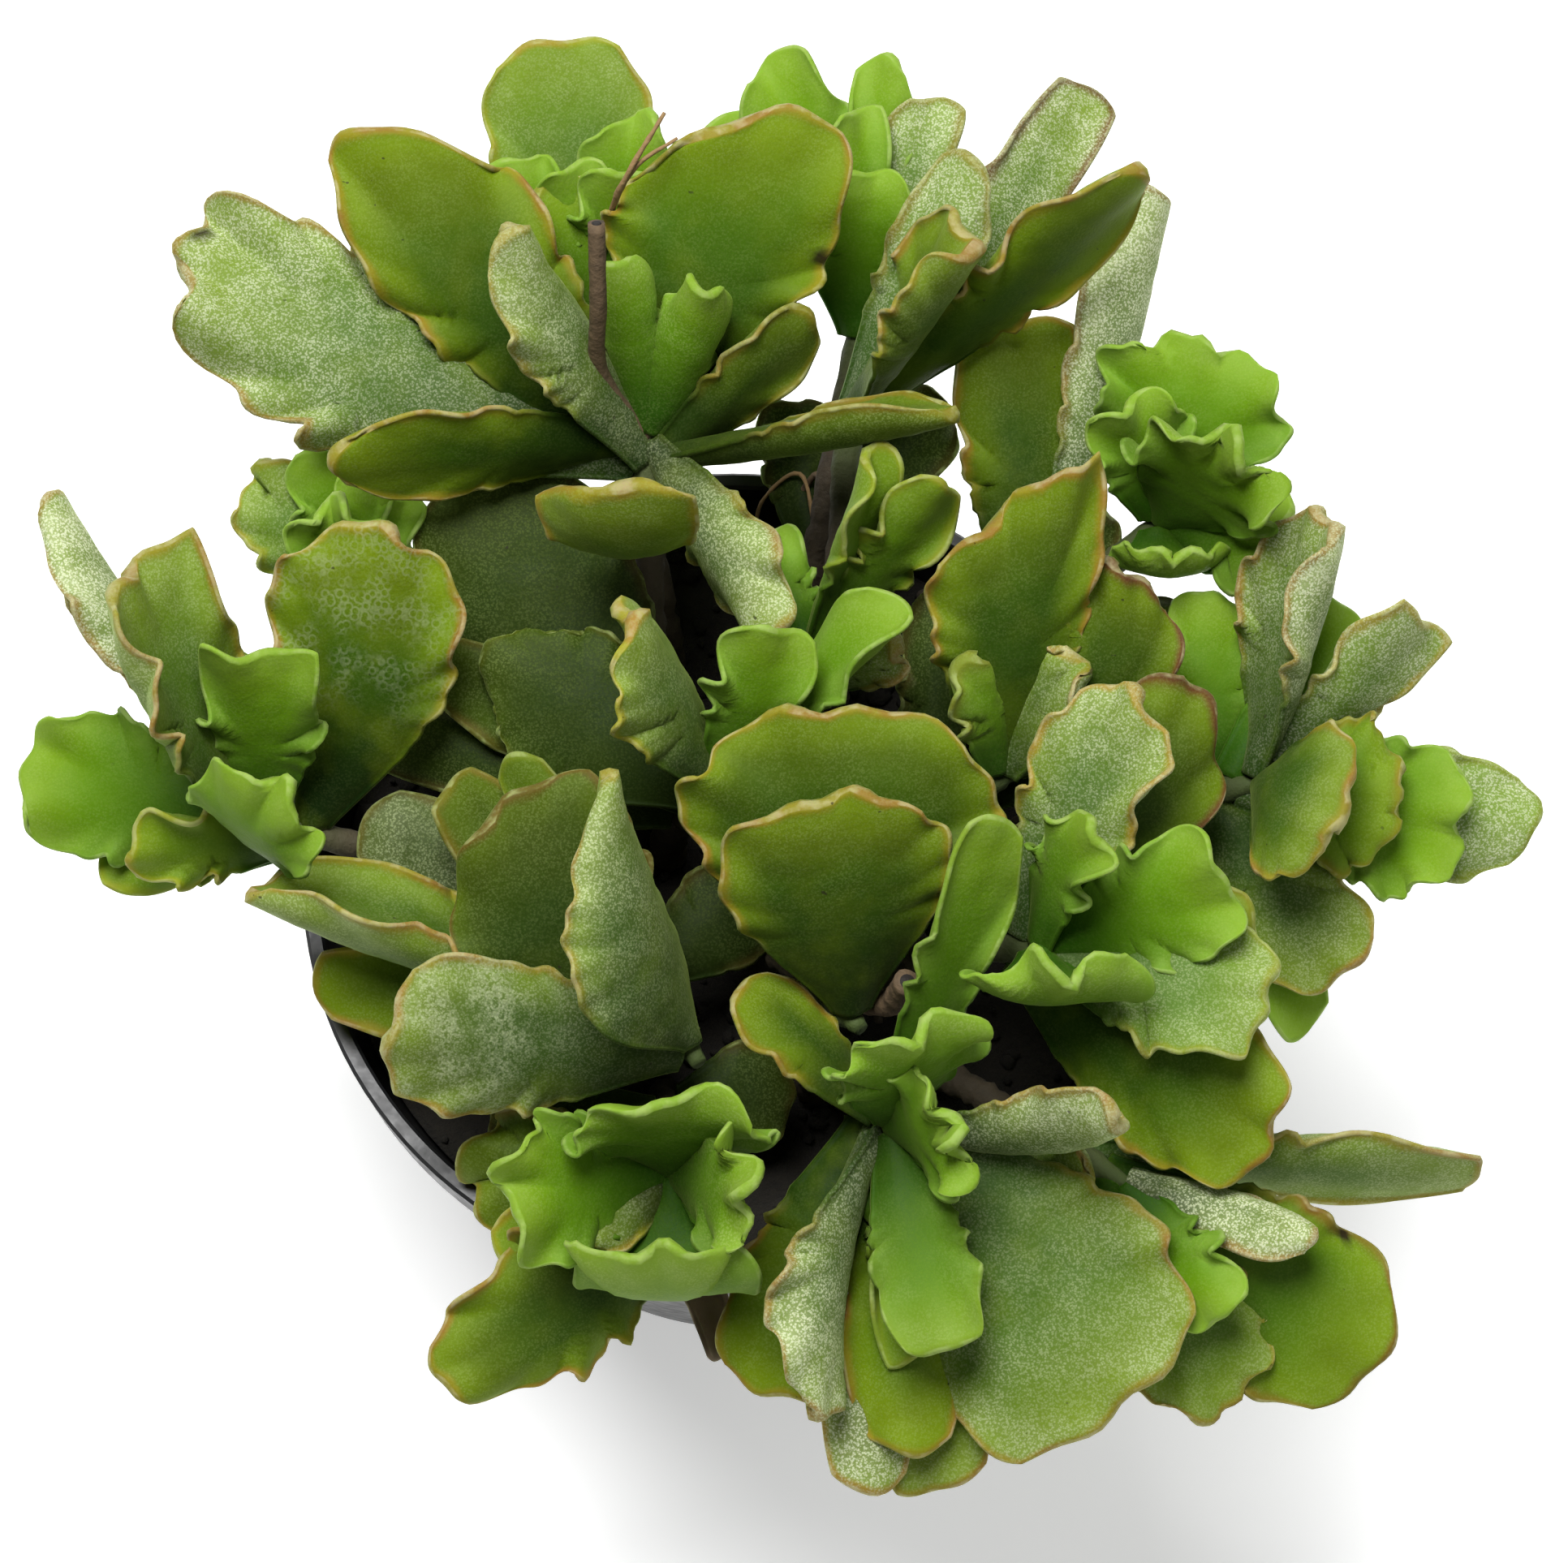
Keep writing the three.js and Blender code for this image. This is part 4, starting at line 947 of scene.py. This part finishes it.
THICK_FROST = (0.62, 0.66, 0.46)
BLOOM = (0.45, 0.50, 0.28)
RING_FROST = (0.42, 0.46, 0.28)
SPECK = (0.02, 0.015, 0.01)
SCAR = (0.022, 0.014, 0.008)
WITHERED_LOOK = ((0.05, 0.03, 0.02), (0.22, 0.16, 0.11))

# Colours of the stems, the pot, the soil and the floor, mostly a dark and a light one
BARK = ((0.020, 0.014, 0.007), (0.065, 0.045, 0.024))
GREY_BARK = (0.10, 0.09, 0.04)
CROWN_GREEN = (0.045, 0.075, 0.010)
STRAW = ((0.042, 0.026, 0.013), (0.17, 0.11, 0.055))
GOLDEN_ROOT = (0.36, 0.22, 0.085)
PAINTED_HOLLOW_SHADE = (0.012, 0.008, 0.006)
PLASTIC = ((0.008, 0.008, 0.009), (0.045, 0.041, 0.037))
SOIL = ((0.003, 0.003, 0.002), (0.018, 0.014, 0.008))
LIGHT_CRUMB = (0.06, 0.045, 0.03)
FLOOR = ((0.93, 0.93, 0.93), (0.95, 0.95, 0.95))
SHEEN_TINT = (0.72, 0.95, 0.22, 1)
FLESH_DEPTHS = (0.6, 1.2, 0.15)


def old_green(m, along, tone):
    """Green of a grown leaf: nearly black at the foot, partly as painted shade deep in the plant, olive at
    the tip, uneven between.
    """
    deep = m.mix(m.span(along, 0.1, 0.95), FOOT_GREEN_AND_SHADE, LEAF_GREEN)
    green = m.mix(m.span(along, 0.6, 1.0), deep, TIP_GREEN)
    olive = m.times(m.span(m.noise(9, offset=3), 0.42, 0.7), 0.5)
    green = m.mix(olive, green, OLIVE)
    return m.mix(m.times(tone, 0.45), green, DULL_GREEN)


def fresh_green(m, along, margin):
    """Green of a young leaf, dark at its foot, partly as painted shade, and lighter towards its tip and its
    rim.
    """
    green = m.mix(m.span(along, 0.1, 0.8), FRESH_FOOT_AND_SHADE, FRESH_GREEN)
    green = m.mix(m.span(along, 0.65, 1.0), green, FRESH_TIP)
    uneven = m.span(m.noise(4, offset=15), 0.35, 0.65, 0.5, 1.0)
    rim = m.times(m.span(margin, 4.5, 0.4), m.span(along, 0.2, 0.6), uneven, 0.45)
    return m.mix(rim, green, FRESH_RIM)


def paint_margins(m, colour, margin, along, youth, red, dark, frost):
    """The yellow, rusty or wine-red band along the edge of a grown leaf, the yellow partly painted glow, and
    its thin pale rim.
    """
    # grown is 0 on young leaves and on leaves given dark, so painted shade takes the bands away there.
    grown = m.span(m.math("MAXIMUM", youth, m.times(dark, 0.7)), 0.8, 0.1)
    outwards = m.span(along, 0.3, 0.6)
    ragged = m.math("ADD", margin, m.times(m.noise(3.5, offset=8), 1.6))
    # The yellow-green band and the gold line are partly the leaf's own colour and partly painted glow of
    # light through its thin edge.
    band = m.times(m.span(ragged, 7.0, 1.2), outwards, grown, 0.7)
    colour = m.mix(band, colour, BAND_GREEN_AND_GLOW)
    gold = m.times(m.span(ragged, 2.0, 0.8), outwards, grown, 0.6)
    colour = m.mix(gold, colour, GOLD_AND_GLOW)
    frosted = m.span(frost, 1.5, 1.9, 0.0, 0.9)
    rusty = m.math("MAXIMUM", m.span(m.noise(7, offset=8), 0.46, 0.62), frosted)
    rust = m.times(m.span(ragged, 1.9, 0.8), outwards, rusty, grown)
    colour = m.mix(m.times(rust, 0.75), colour, RUST)
    blush = m.times(m.span(ragged, 2.6, 0.9), outwards, red)
    colour = m.mix(m.times(blush, 0.9), colour, WINE)
    patchy = m.span(m.noise(2.2, offset=31), 0.4, 0.65, 0.05, 0.5)
    pale = m.times(m.span(margin, 0.3, 0.05), outwards, patchy)
    return m.mix(pale, colour, m.mix(grown, YOUNG_CRUST, OLD_CRUST))


def paint_frost(m, colour, grain, clump, along, margin, inner, frost):
    """Whitish dots and a thin bloom, stronger towards the tip, near the edge and on the outer face."""
    outside = m.span(inner, 1.0, -1.0, 0.6, 1.4)
    near_tip = m.span(along, 0.2, 0.9, 0.3, 1.15)
    near_edge = m.times(m.span(margin, 7.0, 0.6, 0.8, 1.15), m.span(margin, 0.3, 1.2, 0.4, 1.0))
    uneven = m.span(clump, 0.32, 0.64, 0.5, 1.1)
    strength = m.span(frost, 0.9, 2.2, 0.04, 1.0)
    dust = m.math("MAXIMUM", strength, 0.2)
    dots = m.times(grain, outside, near_tip, near_edge)
    rime = m.math("MULTIPLY", dots, m.times(uneven, dust), clamp=True)
    colour = m.mix(rime, colour, m.mix(strength, THIN_FROST, THICK_FROST))
    film = m.times(outside, near_tip, near_edge, uneven)
    bloom = m.math("MULTIPLY", film, m.times(strength, 0.3), clamp=True)
    return m.mix(bloom, colour, BLOOM)


def paint_spots(m, colour, clump, along, youth, crackle, scar):
    """Frost in little rings, tiny dark specks on grown leaves, and a scar here and there."""
    cells = m.dots(0.95)
    rings = m.times(m.span(cells, 0.30, 0.50), m.span(cells, 0.75, 0.52), m.span(clump, 0.38, 0.62))
    colour = m.mix(m.times(rings, crackle, m.span(along, 0.3, 0.7), 0.3), colour, RING_FROST)
    grown = m.math("SUBTRACT", 1.0, youth)
    specks = m.times(m.span(m.noise(1.2, detail=1, offset=21), 0.79, 0.82), grown)
    colour = m.mix(m.times(specks, 0.7), colour, SPECK)
    return m.mix(m.times(scar, 0.95), colour, SCAR)


def leaf_material():
    m = Shading("fleshy leaf")
    along, margin, inner = (m.attribute(name) for name in ("along", "margin", "inner"))
    youth, frost, red, dark = (m.attribute(name) for name in ("youth", "frost", "red", "dark"))
    dry, tone, crackle, scar = (m.attribute(name) for name in ("dry", "tone", "crackle", "scar"))
    fuzz = m.span(m.noise(0.34, detail=2, roughness=0.7, offset=5), 0.53, 0.63, 0.0, 0.9)
    grain = m.math("MAXIMUM", m.span(m.dots(0.34), 0.56, 0.16), fuzz)
    clump = m.noise(4.5, detail=3, offset=11)
    colour = m.mix(youth, old_green(m, along, tone), fresh_green(m, along, margin))
    # Painted shade: leaves given dark are darkened towards a shaded green.
    colour = m.mix(m.times(dark, 0.85), colour, PAINTED_SHADE_GREEN)
    colour = paint_margins(m, colour, margin, along, youth, red, dark, frost)
    colour = paint_frost(m, colour, grain, clump, along, margin, inner, frost)
    colour = paint_spots(m, colour, clump, along, youth, crackle, scar)
    withered = m.mix(clump, *WITHERED_LOOK)
    m.set(base_color=m.mix(dry, colour, withered), roughness=m.span(grain, 0.2, 0.8, 0.5, 0.68))
    soften_skin(m.shader.inputs)
    m.bump(m.math("ADD", m.noise(0.5, detail=2), m.times(clump, 1.5)), 0.12, 0.5)
    return m.material


def soften_skin(inputs):
    """The leaves' faint gloss, their velvety sheen, and the light that passes through their flesh."""
    inputs["Specular IOR Level"].default_value = 0.06
    inputs["Sheen Weight"].default_value = 0.12
    inputs["Sheen Roughness"].default_value = 0.45
    inputs["Sheen Tint"].default_value = SHEEN_TINT
    inputs["Subsurface Weight"].default_value = 0.15
    inputs["Subsurface Radius"].default_value = FLESH_DEPTHS
    inputs["Subsurface Scale"].default_value = 1.2 * MM


def stem_material():
    m = Shading("woody stem")
    dry, tone = m.attribute("dry"), m.attribute("tone")
    bark = m.mix(m.noise(1.6), *BARK)
    bark = m.mix(m.times(tone, 0.2), bark, GREY_BARK)
    bark = m.mix(m.times(m.attribute("fresh"), 0.9), bark, CROWN_GREEN)
    straw = m.mix(m.noise(1.0, offset=4), *STRAW)
    straw = m.mix(m.times(tone, 0.6), straw, GOLDEN_ROOT)
    colour = m.mix(dry, bark, straw)
    # The broken twig ends get a near-black colour as painted shade of their hollow middles.
    m.set(base_color=m.mix(m.attribute("pith"), colour, PAINTED_HOLLOW_SHADE), roughness=0.8)
    m.bump(m.noise(0.9, detail=5), 0.35, 0.8)
    return m.material


def pot_material():
    m = Shading("black moulded plastic")
    dust = m.times(m.span(m.noise(6, detail=6), 0.45, 0.75), 0.25)
    m.set(base_color=m.mix(dust, *PLASTIC))
    m.set(roughness=m.span(m.noise(2.5, offset=2), 0.3, 0.7, 0.32, 0.5))
    m.bump(m.noise(0.5, detail=2), 0.03, 0.4)
    return m.material


def soil_material():
    m = Shading("potting soil")
    dark = m.mix(m.noise(1.2, detail=5), *SOIL)
    light_crumb = m.span(m.attribute("tone"), 0.95, 0.99)
    m.set(base_color=m.mix(light_crumb, dark, LIGHT_CRUMB), roughness=0.95)
    m.bump(m.noise(0.4, detail=4), 0.4, 0.9)
    return m.material


def floor_material():
    m = Shading("pale floor")
    m.set(base_color=m.mix(m.noise(60, detail=2), *FLOOR), roughness=0.6)
    m.set(emission_color=(1, 1, 1, 1), emission_strength=FLOOR_GLOW)
    return m.material


# Floor, light and camera

def make_floor():
    signs = ((-1, -1), (1, -1), (1, 1), (-1, 1))
    corners = [(x * FLOOR_REACH, y * FLOOR_REACH, 0) for x, y in signs]
    floor = mesh_piece("floor", corners, [[0, 1, 2, 3]])
    floor.data.materials.append(floor_material())


def add_light(name, place, size, watts):
    light = bpy.data.lights.new(name, "AREA")
    light.shape = "DISK"
    light.size = size
    light.energy = watts
    lamp = add_object(name, light)
    lamp.location = place
    lamp.rotation_euler = (Vector(place) - VIEW_MIDDLE * MM).to_track_quat("Z", "Y").to_euler()


def make_world():
    world = bpy.data.worlds.new("studio")
    world.use_nodes = True
    background = world.node_tree.nodes["Background"].inputs
    background["Color"].default_value = (1, 1, 1, 1)
    background["Strength"].default_value = WORLD_LIGHT
    bpy.context.scene.world = world
    bpy.context.scene.view_settings.view_transform = "Standard"


def make_camera():
    data = bpy.data.cameras.new("camera")
    data.sensor_width = SENSOR_WIDTH
    data.lens = SENSOR_WIDTH * VIEW_DISTANCE / VIEW_WIDTH
    camera = add_object("camera", data)
    camera.location = (VIEW_MIDDLE + TO_NEAR * VIEW_DISTANCE) * MM
    camera.rotation_euler = (math.pi / 2 - VIEW_ELEVATION, 0, 0)
    bpy.context.scene.camera = camera


# The plant in its pot

draw = random.Random(5)
leaf_look = leaf_material()
stem_look = stem_material()
for shoot in SHOOTS:
    make_stem(shoot, draw, stem_look)
    make_leaves(shoot, draw, leaf_look)
make_pot(pot_material())
make_soil(draw, soil_material())
make_floor()
for name, (place, size, watts) in LIGHTS.items():
    add_light(name, place, size, watts)
make_world()
make_camera()
